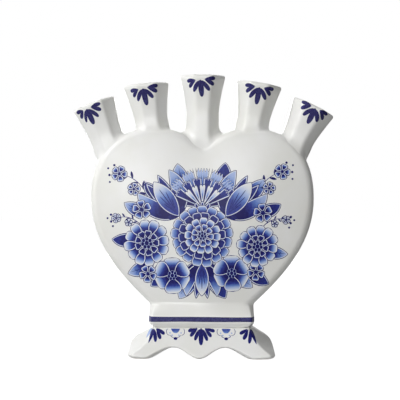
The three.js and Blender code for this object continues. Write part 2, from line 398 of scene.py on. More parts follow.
@dataclass(frozen=True)
class PlainClay:
    """Matt earthenware seen through a thin wash, or bare where the piece stood in the kiln."""

    name: str
    light: str
    dark: str
    roughness: float
    grain_mm: float = 1.2
    grain_edges: tuple[float, float] = (0.3, 0.7)
    grain_depth_mm: float = 0.2
    grain_strength: float = 0.3

    def material(self) -> Material:
        """Makes the clay.

        Returns:
            Its node material.
        """
        material = blank_material(self.name)
        tree = material.node_tree
        place = add_node(tree, "TexCoord").outputs["Object"]
        size = per_mm(self.grain_mm)
        grain = add_node(tree, "TexNoise", {"Vector": place, "Scale": size, "Detail": 4.0})
        stops = dict(zip(self.grain_edges, (self.dark, self.light)))
        shade = add_node(tree, "ValToRGB", {"Fac": grain}, stops)
        relief = {"Strength": self.grain_strength, "Distance": self.grain_depth_mm * MM}
        bump = add_node(tree, "Bump", {"Height": grain, **relief})
        skin = {"Base Color": shade, "Roughness": self.roughness, "Normal": bump}
        shader = add_node(tree, "BsdfPrincipled", skin)
        add_node(tree, "OutputMaterial", {"Surface": shader})
        return material


# Heart


@dataclass
class Heart:
    """The flat hollow heart, pressed in a front and a back half.

    Heights in the fields count up from plinth_top, the ground height of the plinth's top.
    """

    glaze: Material
    plinth_top: float = 41.4
    half_width: float = 87.4
    widest_height: float = 83
    lobe_x: float = 39.2
    lobe_height: float = 137.7
    cleft_height: float = 124.2
    tip_drop: float = 37.4
    tip_handle: float = 48
    tip_angle: float = 46.6
    side_handle_low: float = 54
    side_handle_high: float = 45
    lobe_handle_out: float = 18
    lobe_handle_in: float = 26.5
    cleft_handle: float = 8.7
    cleft_angle: float = 12
    half_edge: float = 15
    edge_radius: float = 6.2
    dome_rise: float = 6.4
    dome_reach: float = 66
    dome_softness: float = 5
    dome_centre: float = 66
    wall: float = 4.5
    cavity_radius: float = 1.5
    tip_kept: float = 14
    tip_steps: int = 12
    curve_steps: int = 36
    round_steps: int = 9
    dome_steps: int = 16
    outline: list[Vector] = field(init=False)
    skin: BVHTree = field(init=False)

    def __post_init__(self) -> None:
        """Works out the outline, whole for the rise of the faces and cut for the shells.

        The outer skin is kept for what seats on the heart or is painted on it.
        """
        whole = self._whole_outline()
        self._samples = np.array([tuple(p) for p in whole])
        spans = np.roll(self._samples, -1, axis=0) - self._samples
        lengths = np.hypot(spans[:, 0], spans[:, 1])
        self._weights = (lengths + np.roll(lengths, 1)) / 2
        kept = [p for p in whole if p.y > self.plinth_top - self.tip_kept]
        bottom = [kept[-1].lerp(kept[0], share) for share in shares(self.tip_steps)[1:-1]]
        self.outline = kept + bottom
        front, back = (self.rings(0, self.edge_radius, side) for side, _ in SIDES)
        bm = loft(front[::-1] + back[1:])
        self.skin = BVHTree.FromBMesh(bm)
        bm.free()

    def _whole_outline(self) -> list[Vector]:
        """Draws the outline from the tip counter-clockwise.

        Returns:
            Its points, as (x, height above the ground).
        """

        def step(length: float, degrees: float = 0) -> Vector:
            """Step of a length in a direction, counter-clockwise from the right."""
            angle = math.radians(degrees)
            return Vector((math.cos(angle), math.sin(angle))) * length

        tip = Vector((0, -self.tip_drop))
        side = Vector((self.half_width, self.widest_height))
        low = side - Vector((0, self.side_handle_low))
        high = side + Vector((0, self.side_handle_high))
        lobe = Vector((self.lobe_x, self.lobe_height))
        cleft = Vector((0, self.cleft_height))
        cleft_start = cleft + step(self.cleft_handle, self.cleft_angle)
        right = []
        for curve in (
            (tip, tip + step(self.tip_handle, self.tip_angle), low, side),
            (side, high, lobe + step(self.lobe_handle_out), lobe),
            (lobe, lobe - step(self.lobe_handle_in), cleft_start, cleft),
        ):
            right.extend(geometry.interpolate_bezier(*curve, self.curve_steps)[:-1])
        right.append(cleft)
        left = [Vector((-p.x, p.y)) for p in reversed(right[1:-1])]
        return [Vector((p.x, p.y + self.plinth_top)) for p in right + left]

    def lobe_height_at(self, x: float) -> float:
        """Looks up the top of a lobe.

        Args:
            x: Distance from the middle.

        Returns:
            Ground height of the upper outline there.
        """
        middle = self.widest_height + self.plinth_top
        upper = [p for p in self.outline if p.x >= 0 and p.y >= middle]
        upper.sort(key=lambda p: p.x)
        return float(np.interp(x, [p.x for p in upper], [p.y for p in upper]))

    def inset(self, points: list[Vector], distance: float) -> list[Vector]:
        """Moves an outline inwards, each point along the mitre of its two edges.

        Args:
            points: The outline's points.
            distance: How far its edges move.

        Returns:
            The moved points.
        """
        moved = []
        for k, point in enumerate(points):
            before = (point - points[k - 1]).normalized()
            after = (points[(k + 1) % len(points)] - point).normalized()
            inward_after = Vector((-after.y, after.x))
            mitre = (Vector((-before.y, before.x)) + inward_after).normalized()
            moved.append(point + mitre * (distance / mitre.dot(inward_after)))
        return moved

    def rise(self, points: list[Vector]) -> np.ndarray:
        """Works out how far each face swells out over its flat edge.

        The face rises with the distance from the outline, quickly at first. The distance is a
        soft one, so that the two sides meet in the middle without a crease.

        Args:
            points: Points inside the outline.

        Returns:
            The rise at each of them.
        """
        places = np.array([tuple(p) for p in points])
        apart = np.linalg.norm(places[:, None, :] - self._samples[None, :, :], axis=2)
        near = np.exp(-apart / self.dome_softness) @ self._weights / (2 * self.dome_softness)
        distance = np.clip(-self.dome_softness * np.log(near), 0, self.dome_reach)
        return self.dome_rise * (1 - (1 - distance / self.dome_reach) ** 2)

    def layers(self, inset: float, radius: float) -> list[tuple[list[Vector], np.ndarray]]:
        """Layers of one half skin, from the seam to the middle of its face.

        Args:
            inset: How far the skin lies inside the outer one.
            radius: Rounding of its edge.

        Returns:
            The outline points and half-depths of each layer.
        """
        base = self.inset(self.outline, inset)
        shoulder = self.half_edge - inset - radius
        found = [(base, np.zeros(len(base)))]
        for sine, cosine in quarter_turn(self.round_steps):
            points = self.inset(self.outline, inset + radius * (1 - cosine))
            swell = self.rise(points) if sine else 0
            found.append((points, shoulder + radius * sine + swell))
        rim = found[-1][0]
        middle = Vector((0, self.plinth_top + self.dome_centre))
        for share in shares(self.dome_steps)[1:]:
            points = [p.lerp(middle, share) for p in rim]
            found.append((points, shoulder + radius + self.rise(points)))
        return found

    def rings(self, inset: float, radius: float, side: int) -> list[Ring]:
        """The layers as rings in space, on the front (side -1) or the back (side 1)."""
        return [
            [Vector((p.x, side * y, p.y)) for p, y in zip(points, depths + np.zeros(len(points)))]
            for points, depths in self.layers(inset, radius)
        ]

    def half(self, side: int) -> BMesh:
        """One half shell with its inner wall, a little longer than the plinth lets it be."""
        inner = self.rings(self.wall, self.cavity_radius, side)
        return loft(self.rings(0, self.edge_radius, side)[::-1] + inner)

    def tip_cutter(self) -> BMesh:
        """Makes the space under the plinth's top, which cuts the tip off flat.

        Returns:
            The closed mesh in millimetres.
        """
        size = 2 * self.half_width
        bm = bmesh.new()
        bmesh.ops.create_cube(bm, size=size)
        bmesh.ops.translate(bm, vec=(0, 0, self.plinth_top - size / 2), verts=bm.verts)
        return bm

    def build(self, cutters: list[BMesh]) -> None:
        """Makes both halves.

        Args:
            cutters: The bores of the spouts, which open into the water space.
        """
        for side, name in SIDES:
            node = f"heart_{name}"
            glazed = f"{node}_glazed"
            piece = add_piece(self.half(side), glazed, [self.glaze], node)
            bore(piece, [self.tip_cutter(), *cutters])


# Spouts


@dataclass
class Spout:
    """One octagonal flower spout. Depths count down its axis from the rim.

    The axis leaves the heart's outline at the seat, counted inwards from the heart's widest
    point. The rim is cut a little askew, by rim_turn degrees clockwise as seen from the front.
    """

    name: str
    side: int
    seat: float
    tilt: float
    length: float
    glaze: Material
    heart: Heart
    rim_half: float = 17.3
    neck_half: float = 12.9
    flare_length: float = 28.6
    flare_power: float = 1.35
    base_spread: float = 0.4
    base_length: float = 12
    bore_wall: float = 4.2
    lip_wall: float = 3.6
    lip_radius: float = 1.8
    rim_turn: float = 0
    corner_softness: float = 1.8
    fillet: float = 5.4
    side_radius: float = 3.4
    least_fillet: float = 0.6
    fillet_sunk: float = 0.03
    least_slide: float = 0.05
    root_sunk: float = 0.9
    bore_beyond: float = 12
    search_above: float = 24
    search_step: float = 0.5
    facets: int = 8
    facet_steps: int = 4
    lip_steps: int = 4
    wall_steps: int = 16
    fillet_steps: int = 7
    bore_steps: int = 10

    def __post_init__(self) -> None:
        """Places the middle of the rim, with +Z along the spout's axis."""
        angle = math.radians(self.side * self.tilt)
        seat_x = self.heart.half_width - self.seat
        x = self.side * seat_x + self.length * math.sin(angle)
        z = self.heart.lobe_height_at(seat_x) + self.length * math.cos(angle)
        self.place = Matrix.Translation((x, 0, z)) @ Matrix.Rotation(angle, 4, "Y")

    def half_at(self, depth: float) -> float:
        """Works out the half-width across the flats.

        Args:
            depth: Depth under the rim.

        Returns:
            The half-width there.
        """
        flare = max(0.0, 1 - depth / self.flare_length) ** self.flare_power
        base = min(max(0.0, 1 - (self.length - depth) / self.base_length), 1)
        spread = self.base_spread * base**2
        return self.neck_half + (self.rim_half - self.neck_half) * flare + spread

    def octagon(self, half: float, depth: float) -> Ring:
        """Draws a soft-cornered octagon round the axis.

        Args:
            half: Its half-width across the flats.
            depth: Its depth under the rim.

        Returns:
            Its points in the vase's frame.
        """
        turn = math.pi / self.facets
        reach = half / math.cos(turn)
        flare = 1 - min(max(depth / self.flare_length, 0), 1)
        slope = math.tan(math.radians(self.rim_turn)) * flare
        corners = []
        for k in range(self.facets):
            angle = turn + k * 2 * turn
            x = math.cos(angle) * reach
            corners.append(Vector((x, math.sin(angle) * reach, -depth - x * slope)))
        steps = (self.facet_steps,) * self.facets
        return [self.place @ p for p in soft_polygon(corners, self.corner_softness, steps)]

    def outer(self, depth: float) -> Ring:
        """Outer wall at a depth."""
        return self.octagon(self.half_at(depth), depth)

    def inner(self, depth: float) -> Ring:
        """Wall of the bore at a depth."""
        wall = mix(self.lip_wall, self.bore_wall, min(depth / self.flare_length, 1))
        return self.octagon(self.half_at(depth) - wall, depth)

    def contact_depths(self) -> list[float]:
        """Finds where the outer wall meets the heart's skin.

        Returns:
            The depth at each point of the wall, eased between neighbours.
        """
        found: dict[int, float] = {}
        deepest = self.length + 2 * self.bore_beyond
        depth = self.length - self.search_above
        while depth < deepest:
            for k, point in enumerate(self.outer(depth)):
                near, normal, _, _ = self.heart.skin.find_nearest(point)
                if k not in found and (point - near).dot(normal) < 0:
                    found[k] = depth
            depth += self.search_step
        raw = [found.get(k, deepest) for k in range(len(self.outer(0)))]
        return [(raw[k - 1] + raw[k] + raw[(k + 1) % len(raw)]) / 3 for k in range(len(raw))]

    def cutter(self) -> BMesh:
        """Makes the space that the bore takes through the wall of the heart.

        Returns:
            The closed mesh in millimetres.
        """
        half = self.neck_half - self.bore_wall
        bottom = self.length + self.bore_beyond
        tops = [self.octagon(half, depth) for depth in (self.length / 2, bottom)]
        ends = [[sum(ring, Vector()) / len(ring)] * len(ring) for ring in tops]
        return loft([ends[0], *tops, ends[1]])

    def body(self) -> BMesh:
        """Makes the spout with its lip, its bore and a fillet that runs out on the heart.

        Returns:
            The closed mesh in millimetres.
        """
        depths = self.contact_depths()
        lip = self.half_at(self.lip_radius)
        rings = []
        for sine, cosine in quarter_turn(self.lip_steps):
            inner_lip = lip - self.lip_wall + self.lip_radius * (1 - cosine)
            rings.append(self.octagon(inner_lip, self.lip_radius * (1 - sine)))
        for sine, cosine in quarter_turn(self.lip_steps):
            outer_lip = lip - self.lip_radius * (1 - sine)
            rings.append(self.octagon(outer_lip, self.lip_radius * (1 - cosine)))
        fillets = self._fillets(depths)
        starts = [depth - fillet for depth, fillet in zip(depths, fillets)]
        for share in shares(self.wall_steps)[1:]:
            rings.append(self._wall_ring([mix(self.lip_radius, s, share) for s in starts]))
        rings.extend(self._fillet_rings(depths, fillets)[1:])
        floor = [depth + self.root_sunk for depth in depths]
        rings.append(self._wall_ring(floor))
        for share in shares(self.bore_steps):
            drops = [mix(depth, self.lip_radius, share) for depth in floor]
            rings.append(self._wall_ring(drops, inside=True))
        return loft(rings, closed=True)

    def _wall_ring(self, depths: list[float], inside: bool = False) -> Ring:
        """Ring whose points lie on the outer or the inner wall, each at a depth of its own."""
        wall = self.inner if inside else self.outer
        return [wall(depth)[k] for k, depth in enumerate(depths)]

    def _aways(self, depths: list[float]) -> list[Vector]:
        """Finds which way the heart's skin runs on from the wall.

        Args:
            depths: Depth at which each point of the wall meets the skin.

        Returns:
            A step over the skin, away from the wall, at each point.
        """
        axis = self.place.to_3x3() @ Vector((0, 0, 1))
        found = []
        for corner, depth in zip(self._wall_ring(depths), depths):
            outward = (corner - self.place @ Vector((0, 0, -depth))).normalized()
            _, normal, _, _ = self.heart.skin.find_nearest(corner)
            along = outward - normal * outward.dot(normal)
            if along.length < self.least_slide:
                along = -axis - normal * (-axis).dot(normal)
            found.append(along.normalized())
        return found

    def _fillets(self, depths: list[float]) -> list[float]:
        """Works out the reach of the fillet.

        At the sides it follows from a radius and the angle at which the wall meets the heart, so
        that a wall that runs on into the outline has next to none. At the front it is even.

        Args:
            depths: Depth at which each point of the wall meets the heart.

        Returns:
            The reach at each point.
        """
        axis = self.place.to_3x3() @ Vector((0, 0, 1))
        found = []
        for corner, away in zip(self._wall_ring(depths), self._aways(depths)):
            local = self.place.inverted() @ corner
            sideways = abs(local.x) / math.hypot(local.x, local.y)
            reach = max(self.side_radius / math.tan(axis.angle(away) / 2), self.least_fillet)
            found.append(mix(self.fillet, reach, sideways**4))
        return found

    def _fillet_rings(self, depths: list[float], fillets: list[float]) -> list[Ring]:
        """Draws the fillet, from the wall to where it runs out on the heart's skin.

        Args:
            depths: Depth at which each point of the wall meets the heart.
            fillets: Reach of the fillet at each point.

        Returns:
            The rings from the top down, the last one under the skin.
        """
        starts = self._wall_ring([depth - fillet for depth, fillet in zip(depths, fillets)])
        corners = self._wall_ring(depths)
        touched = []
        for corner, away, fillet in zip(corners, self._aways(depths), fillets):
            near, normal, _, _ = self.heart.skin.find_nearest(corner + away * fillet)
            touched.append((near, normal))
        ends, sunk = [], []
        for k, (near, normal) in enumerate(touched):
            bridged = 0.0
            for other, _ in (touched[k - 1], touched[(k + 1) % len(touched)]):
                halfway = (near + other) / 2
                below, up, _, _ = self.heart.skin.find_nearest(halfway)
                bridged = max(bridged, (halfway - below).dot(up))
            ends.append(near - normal * (self.fillet_sunk + bridged))
            sunk.append(near - normal * (self.root_sunk + bridged))
        rings = []
        for t in shares(self.fillet_steps):
            parts = zip(starts, corners, ends)
            first, second, third = (1 - t) ** 2, 2 * t * (1 - t), t * t
            rings.append([a * first + b * second + c * third for a, b, c in parts])
        return [*rings, sunk]

    def build(self) -> BVHTree:
        """Makes the spout.

        Returns:
            Its surface, for the painter.
        """
        bm = self.body()
        surface = BVHTree.FromBMesh(bm)
        add_piece(bm, f"{self.name}_glazed", [self.glaze], self.name)
        return surface


# Plinth


@dataclass
class Plinth:
    """The moulded plinth between the heart and the foot."""

    glaze: Material
    heart: Heart
    bottom: float = 23.4
    top: float = 41.4
    waist_x: float = 40.2
    waist_y: float = 18.96
    overhang_x: float = 0.9
    overhang_y: float = 1.44
    undercut_x: float = 1.6
    undercut_y: float = 0.05
    # Height over the bottom and share of the overhang reached, from the groove over the foot up
    # and round the nose, which is at its widest from nose_start up.
    profile: tuple[tuple[float, float], ...] = (
        *((0, -1.2), (0.6, -1.2), (0.75, 0.12), (3, 0.8), (3.45, 0.92)),
        *((3.9, 0.98), (4.8, 1), (8.1, 1), (9, 0.96), (9.45, 0.9)),
    )
    nose_start: float = 4.8
    # Height over the top and lift off the heart's skin of the cove's lip, end and root.
    cove: tuple[tuple[float, float], ...] = ((0.2, 0.25), (1.6, 0.02), (0.6, -1.2))
    slope_shares: tuple[float, ...] = (0.35, 0.7, 0.93)
    search_reach: float = 8
    wall: float = 6.6
    chamfer_x: float = 2.3
    chamfer_y: float = 5.8
    softness: float = 1
    edge_steps: tuple[int, ...] = (16, 3, 48, 3) * 2

    def section(self, height: float, spread_x: float, spread_y: float) -> Ring:
        """Draws a soft-cornered section.

        Args:
            height: Its height over the plinth's bottom.
            spread_x: How far its ends stand out over the waist.
            spread_y: How far its front and back do.

        Returns:
            Its points.
        """
        half_x, half_y = self.waist_x + spread_x, self.waist_y + spread_y
        z = self.bottom + height
        corners = cut_rectangle(half_x, half_y, self.chamfer_x, self.chamfer_y, z)
        return soft_polygon(corners, self.softness, self.edge_steps)

    def nose(self, height: float, lift: float = 0) -> Ring:
        """Draws a section of the nose moulding.

        Args:
            height: Its height over the bottom.
            lift: How far it stands off the moulding's face.

        Returns:
            Its points.
        """
        share = float(np.interp(height, *zip(*self.profile)))
        below = height <= self.nose_start
        spread_x = mix(-self.undercut_x if below else 0, self.overhang_x, share)
        spread_y = mix(self.undercut_y if below else 0, self.overhang_y, share)
        return self.section(height, spread_x + lift, spread_y + lift)

    def build(self) -> None:
        """Makes the plinth, with its top sewn to the heart's skin."""
        rings = [self.nose(height) for height, _ in self.profile]
        rings.extend(self._slope(rings[-1]))
        inner = self.section(self.top - self.bottom, -self.wall, -self.wall)
        rings.append(inner)
        rings.append([Vector((p.x, p.y, self.bottom)) for p in inner])
        bm = loft(rings, closed=True)
        add_piece(bm, "plinth_glazed", [self.glaze], "plinth")

    def _slope(self, start: Ring) -> list[Ring]:
        """Draws the slope from the nose up to the heart, with a cove on the heart's skin.

        Args:
            start: The top of the nose.

        Returns:
            The rings above it, the last one under the skin.
        """
        lips, ends, sunk = (
            [self._on_heart(point, self.top + up, lift) for point in start]
            for up, lift in self.cove
        )
        rings = [[a.lerp(b, share) for a, b in zip(start, lips)] for share in self.slope_shares]
        rings.append([(a + b * 2 + c) / 4 for a, b, c in zip(rings[-1], lips, ends)])
        return [*rings, ends, sunk]

    def _on_heart(self, point: Vector, z: float, lift: float) -> Vector:
        """Finds the heart's skin straight inwards from a point of the nose.

        Args:
            point: The point.
            z: Height above the ground at which to look.
            lift: How far to stand off the skin.

        Returns:
            The place over the skin.
        """
        skin = self.heart.skin
        outward = Vector((point.x * (self.waist_y / self.waist_x) ** 2, point.y, 0)).normalized()
        level = Vector((point.x, point.y, z))
        hit, normal, _, _ = skin.ray_cast(level + outward * self.search_reach, -outward)
        if hit is None:
            hit, normal, _, _ = skin.find_nearest(level)
        return hit + normal * lift


# Foot


@dataclass
class Foot:
    """The hollow bracket foot: four splayed pads and scalloped aprons."""

    glaze: Material
    clay: Material
    height: float = 23.4
    half_width: float = 57.4
    half_depth: float = 28
    top_x: float = 39.6
    top_y: float = 20
    wall: float = 6
    roof_wall: float = 9
    end_radius: float = 3
    apron_radius: float = 1.4
    inner_radius: float = 1.2
    pad_x: float = 42.4
    pad_handle: tuple[float, float] = (-6, 1.6)
    arch_x: float = 20.5
    arch_height: float = 8.5
    arch_handle: float = 8
    arch_shift: float = -1.8
    drop_clearance: float = 0.1
    drop_handle: float = 6.2
    end_arch_half: float = 10
    end_arch_height: float = 6
    end_arch_power: float = 1.5
    end_zone: float = 6
    end_slope: float = 0.35
    top_ease: float = 0.7
    top_blend: float = 0.35
    top_sag: float = 0.2
    sole_height: float = 0.35
    softness: float = 1.4
    edge_steps: tuple[int, ...] = (20, 4, 84, 4) * 2
    apron_steps: int = 24
    edge_rounds: int = 12
    wall_steps: int = 22
    first_wall_share: float = 0.04
    outer_round_steps: int = 5
    inner_round_steps: int = 3
    inner_wall_shares: tuple[float, ...] = (0.35, 0.7, 0.9)
    # Share of the height, then of the splay reached at the ends and at the front, then the
    # corner facet's width across the end and the front, which swells at the knee.
    sections: tuple[tuple[float, ...], ...] = (
        (1, 0, 0, 2.6, 3.6),
        (0.95, 0.1, 0.06, 5.2, 8),
        (0.82, 0.38, 0.17, 7.8, 12.6),
        (0.7, 0.67, 0.29, 10.4, 16.8),
        (0.56, 0.85, 0.44, 12.2, 19.4),
        (0.37, 0.93, 0.66, 9.4, 16),
        (0.2, 0.97, 0.86, 4.8, 8.4),
        (0.08, 1, 1, 2.6, 4),
        (0, 1, 1, 2.4, 3.6),
    )
    fine_rows: int = 161
    blur_rows: int = 31

    def __post_init__(self) -> None:
        """Smooths the table of sections into a fine one."""
        table = np.array(self.sections)
        places = np.arange(len(table))
        fine = np.linspace(0, len(table) - 1, self.fine_rows)
        smooth = np.stack([np.interp(fine, places, column) for column in table.T], axis=1)
        kernel = np.hanning(self.blur_rows)
        kernel /= kernel.sum()
        margin = self.blur_rows // 2
        padded = np.pad(smooth, ((margin, margin), (0, 0)), mode="reflect", reflect_type="odd")
        columns = [np.convolve(column, kernel, mode="valid") for column in padded.T]
        self._fine = np.stack(columns, axis=1)[::-1]

    def section(self, height: float, inset: float = 0) -> Ring:
        """Draws a soft-cornered section.

        Args:
            height: Its height above the ground.
            inset: How far it lies inside the outer face.

        Returns:
            Its points.
        """
        share = height / self.height
        places, *columns = self._fine.T
        splay_x, splay_y, facet_x, facet_y = (np.interp(share, places, c) for c in columns)
        half_x = mix(self.top_x, self.half_width, splay_x) - inset
        half_y = mix(self.top_y, self.half_depth, splay_y) - inset
        corners = cut_rectangle(half_x, half_y, facet_x, facet_y, height)
        return soft_polygon(corners, self.softness, self.edge_steps)

    def apron(self) -> tuple[np.ndarray, np.ndarray]:
        """Draws half of the scalloped line.

        Returns:
            The distances of its points from the middle, and their heights.
        """
        drop = Vector((0, self.drop_clearance))
        peak = Vector((self.arch_x, self.arch_height))
        pad = Vector((self.pad_x, 0))
        low = drop + Vector((self.drop_handle, 0))
        handle = Vector((self.arch_handle, 0))
        inner = geometry.interpolate_bezier(drop, low, peak - handle, peak, self.apron_steps)
        foot = pad + Vector(self.pad_handle)
        outer = geometry.interpolate_bezier(peak, peak + handle, foot, pad, self.apron_steps)
        line = inner + outer[1:]
        return np.array([p.x for p in line]), np.array([p.y for p in line])

    def edge_radii(self) -> list[float]:
        """Radius of the lower edge at each point of a section, larger round the ends."""
        past = [(abs(p.x) - self.pad_x) / (self.half_width - self.pad_x) for p in self.section(0)]
        return [mix(self.apron_radius, self.end_radius, max(share, 0)) for share in past]

    def lower_edge(self, radii: list[float]) -> list[float]:
        """Finds the height of the lower edge.

        Args:
            radii: Its radius at each point of a section.

        Returns:
            Its height under each point.
        """
        distances, heights = self.apron()
        end = self.half_width - self.end_zone
        found = []
        for k, low in enumerate(self.section(0)):
            z = 0.0
            for _ in range(self.edge_rounds):
                point = self.section(z + radii[k])[k]
                if abs(point.y) > abs(point.x) * self.end_slope and abs(low.x) < end:
                    z = float(np.interp(abs(point.x - self.arch_shift), distances, heights))
                elif abs(point.y) < self.end_arch_half:
                    share = 1 - (point.y / self.end_arch_half) ** 2
                    z = self.end_arch_height * share**self.end_arch_power
                else:
                    break
            found.append(z)
        return found

    def body(self) -> BMesh:
        """Makes the foot's closed mesh, by rings that each follow the scalloped line.

        Returns:
            The mesh in millimetres, with the soles' faces on the second material.
        """
        radii = self.edge_radii()
        lows = self.lower_edge(radii)
        top = self.height
        sections: dict[tuple[float, float], Ring] = {}

        def at(k: int, z: float, inset: float) -> Vector:
            """Picks a point of a section, each of which is drawn once.

            Args:
                k: The point's number.
                z: The section's height.
                inset: How far it lies inside the outer face.

            Returns:
                The point.
            """
            key = (round(z, 3), inset)
            if key not in sections:
                sections[key] = self.section(z, inset)
            return sections[key][k]

        def at_edge(k: int, reach: float, up: float) -> Vector:
            """Places a point of the rounded lower edge.

            Args:
                k: Its number in the section.
                reach: How far it lies inside the outer face.
                up: How far it lies over the scalloped line.

            Returns:
                The point.
            """
            outer = at(k, lows[k] + radii[k], 0)
            inner = at(k, lows[k] + radii[k], self.wall)
            point = outer + (inner - outer) * (reach / self.wall)
            return Vector((point.x, point.y, lows[k] + up))

        points = range(len(lows))
        rings = [[at(k, top, inset) for k in points] for inset in (self.roof_wall, self.top_ease)]
        sag = Vector((0, 0, -self.top_sag))
        rings.append([at(k, top, 0).lerp(rings[1][k], self.top_blend) + sag for k in points])
        for share in [self.first_wall_share, *shares(self.wall_steps)[2:]]:
            rings.append([at(k, mix(top, lows[k] + radii[k], share), 0) for k in points])
        for sine, cosine in quarter_turn(self.outer_round_steps)[1:]:
            rings.append([at_edge(k, radii[k] * (1 - cosine), radii[k] * (1 - sine)) for k in points])
        for sine, cosine in quarter_turn(self.inner_round_steps):
            reach = self.wall - self.inner_radius * (1 - sine)
            rings.append([at_edge(k, reach, self.inner_radius * (1 - cosine)) for k in points])
        for share in self.inner_wall_shares:
            inset = mix(self.wall, self.roof_wall, share**3)
            rings.append([at(k, mix(lows[k] + self.inner_radius, top, share), inset) for k in points])
        bm = loft(rings, closed=True)
        for face in bm.faces:
            if face.calc_center_median().z < self.sole_height:
                face.material_index = 1
        return bm

    def build(self) -> BVHTree:
        """Makes the foot.

        Returns:
            Its surface, for the painter.
        """
        bm = self.body()
        surface = BVHTree.FromBMesh(bm)
        add_piece(bm, "foot_glazed", [self.glaze, self.clay], "foot")
        return surface


# Painting


class Form(Enum):
    """Outline of a stroke: the powers that widen it from its root and narrow it to its tip."""

    LEAF = (0.8, 0.8)
    DROP = (0.9, 0.45)
    ROUND = (0.5, 0.5)
    LINE = (0.25, 0.5)
    FAN = (0.75, 0.0)
    DAB = (0.5, 0.4)
    REED = (0.5, 0.95)
    BOWL = (0.0, 0.36)

    def share(self, along: float) -> float:
        """Works out how wide the stroke is.

        Args:
            along: Share of the length.

        Returns:
            Share of the full width there.
        """
        start, end = self.value
        widest = start / (start + end)
        return along**start * (1 - along) ** end / (widest**start * (1 - widest) ** end)


class Tone(Enum):
    """Cobalt in a stroke: at its root, at its tip, in its rim and in its outline."""

    SHADED = (1.04, 0.28, 0.03, 1.02)
    DEEP = (1.04, 0.82, 0.06, 1.02)
    PALE = (0.76, 0.02, 0.01, 0.96)
    BLUSH = (1.0, 0.06, 0.01, 0.94)
    BEAD = (1.1, 1.1, 1.1, 0.03)
    SOLID = (1.0, 0.94, 0.95, 0.86)
    HALF = (0.7, 0.5, 0.56, 0.64)
    WASH = (0.3, 0.22, 0.24, 0.36)

    @property
    def outlined(self) -> bool:
        """Whether the stroke is a petal with a rim and an outline, and not one brush stroke."""
        return self in (Tone.SHADED, Tone.DEEP, Tone.PALE, Tone.BLUSH)


def toward(degrees: float, length: float = 1) -> Vector:
    """Step on a canvas in a direction, clockwise from straight up."""
    angle = math.radians(degrees)
    return Vector((math.sin(angle), math.cos(angle))) * length


def bent(start: Vector, end: Vector, side: Vector) -> tuple[Vector, ...]:
    """Control points of a stroke between two points, its middle bent aside by a step."""
    return start, start.lerp(end, 1 / 3) + side, start.lerp(end, 2 / 3) + side, end


def facing(side: int) -> Matrix:
    """Upright frame that looks out of the front (-1) or the back (1)."""
    turn = Matrix.Rotation(math.pi, 4, "Z") if side > 0 else Matrix.Identity(4)
    return turn @ Matrix.Rotation(math.pi / 2, 4, "X")


@dataclass
class Canvas:
    """Lays a flat drawing in millimetres on a curved surface.

    The frame's X runs across the drawing, its Y up and its Z out of the surface. With a wrap
    radius, the drawing goes round the frame's Y axis.
    """

    surface: BVHTree
    frame: Matrix
    wrap: float = 0
    reach: float = 60

    def lay(self, point: Vector, lift: float) -> Vector:
        """Lays one point.

        Args:
            point: The point of the drawing.
            lift: How far it stands off the surface.

        Returns:
            Its place.
        """
        angle = point.x / self.wrap if self.wrap else 0
        outward = Vector((math.sin(angle), 0, math.cos(angle)))
        start = Vector((0 if self.wrap else point.x, point.y, 0))
        origin = self.frame @ (start + outward * self.reach)
        hit, normal, _, _ = self.surface.ray_cast(origin, -(self.frame.to_3x3() @ outward))
        if hit is None:
            hit, normal, _, _ = self.surface.find_nearest(self.frame @ start)
        return hit + normal * lift


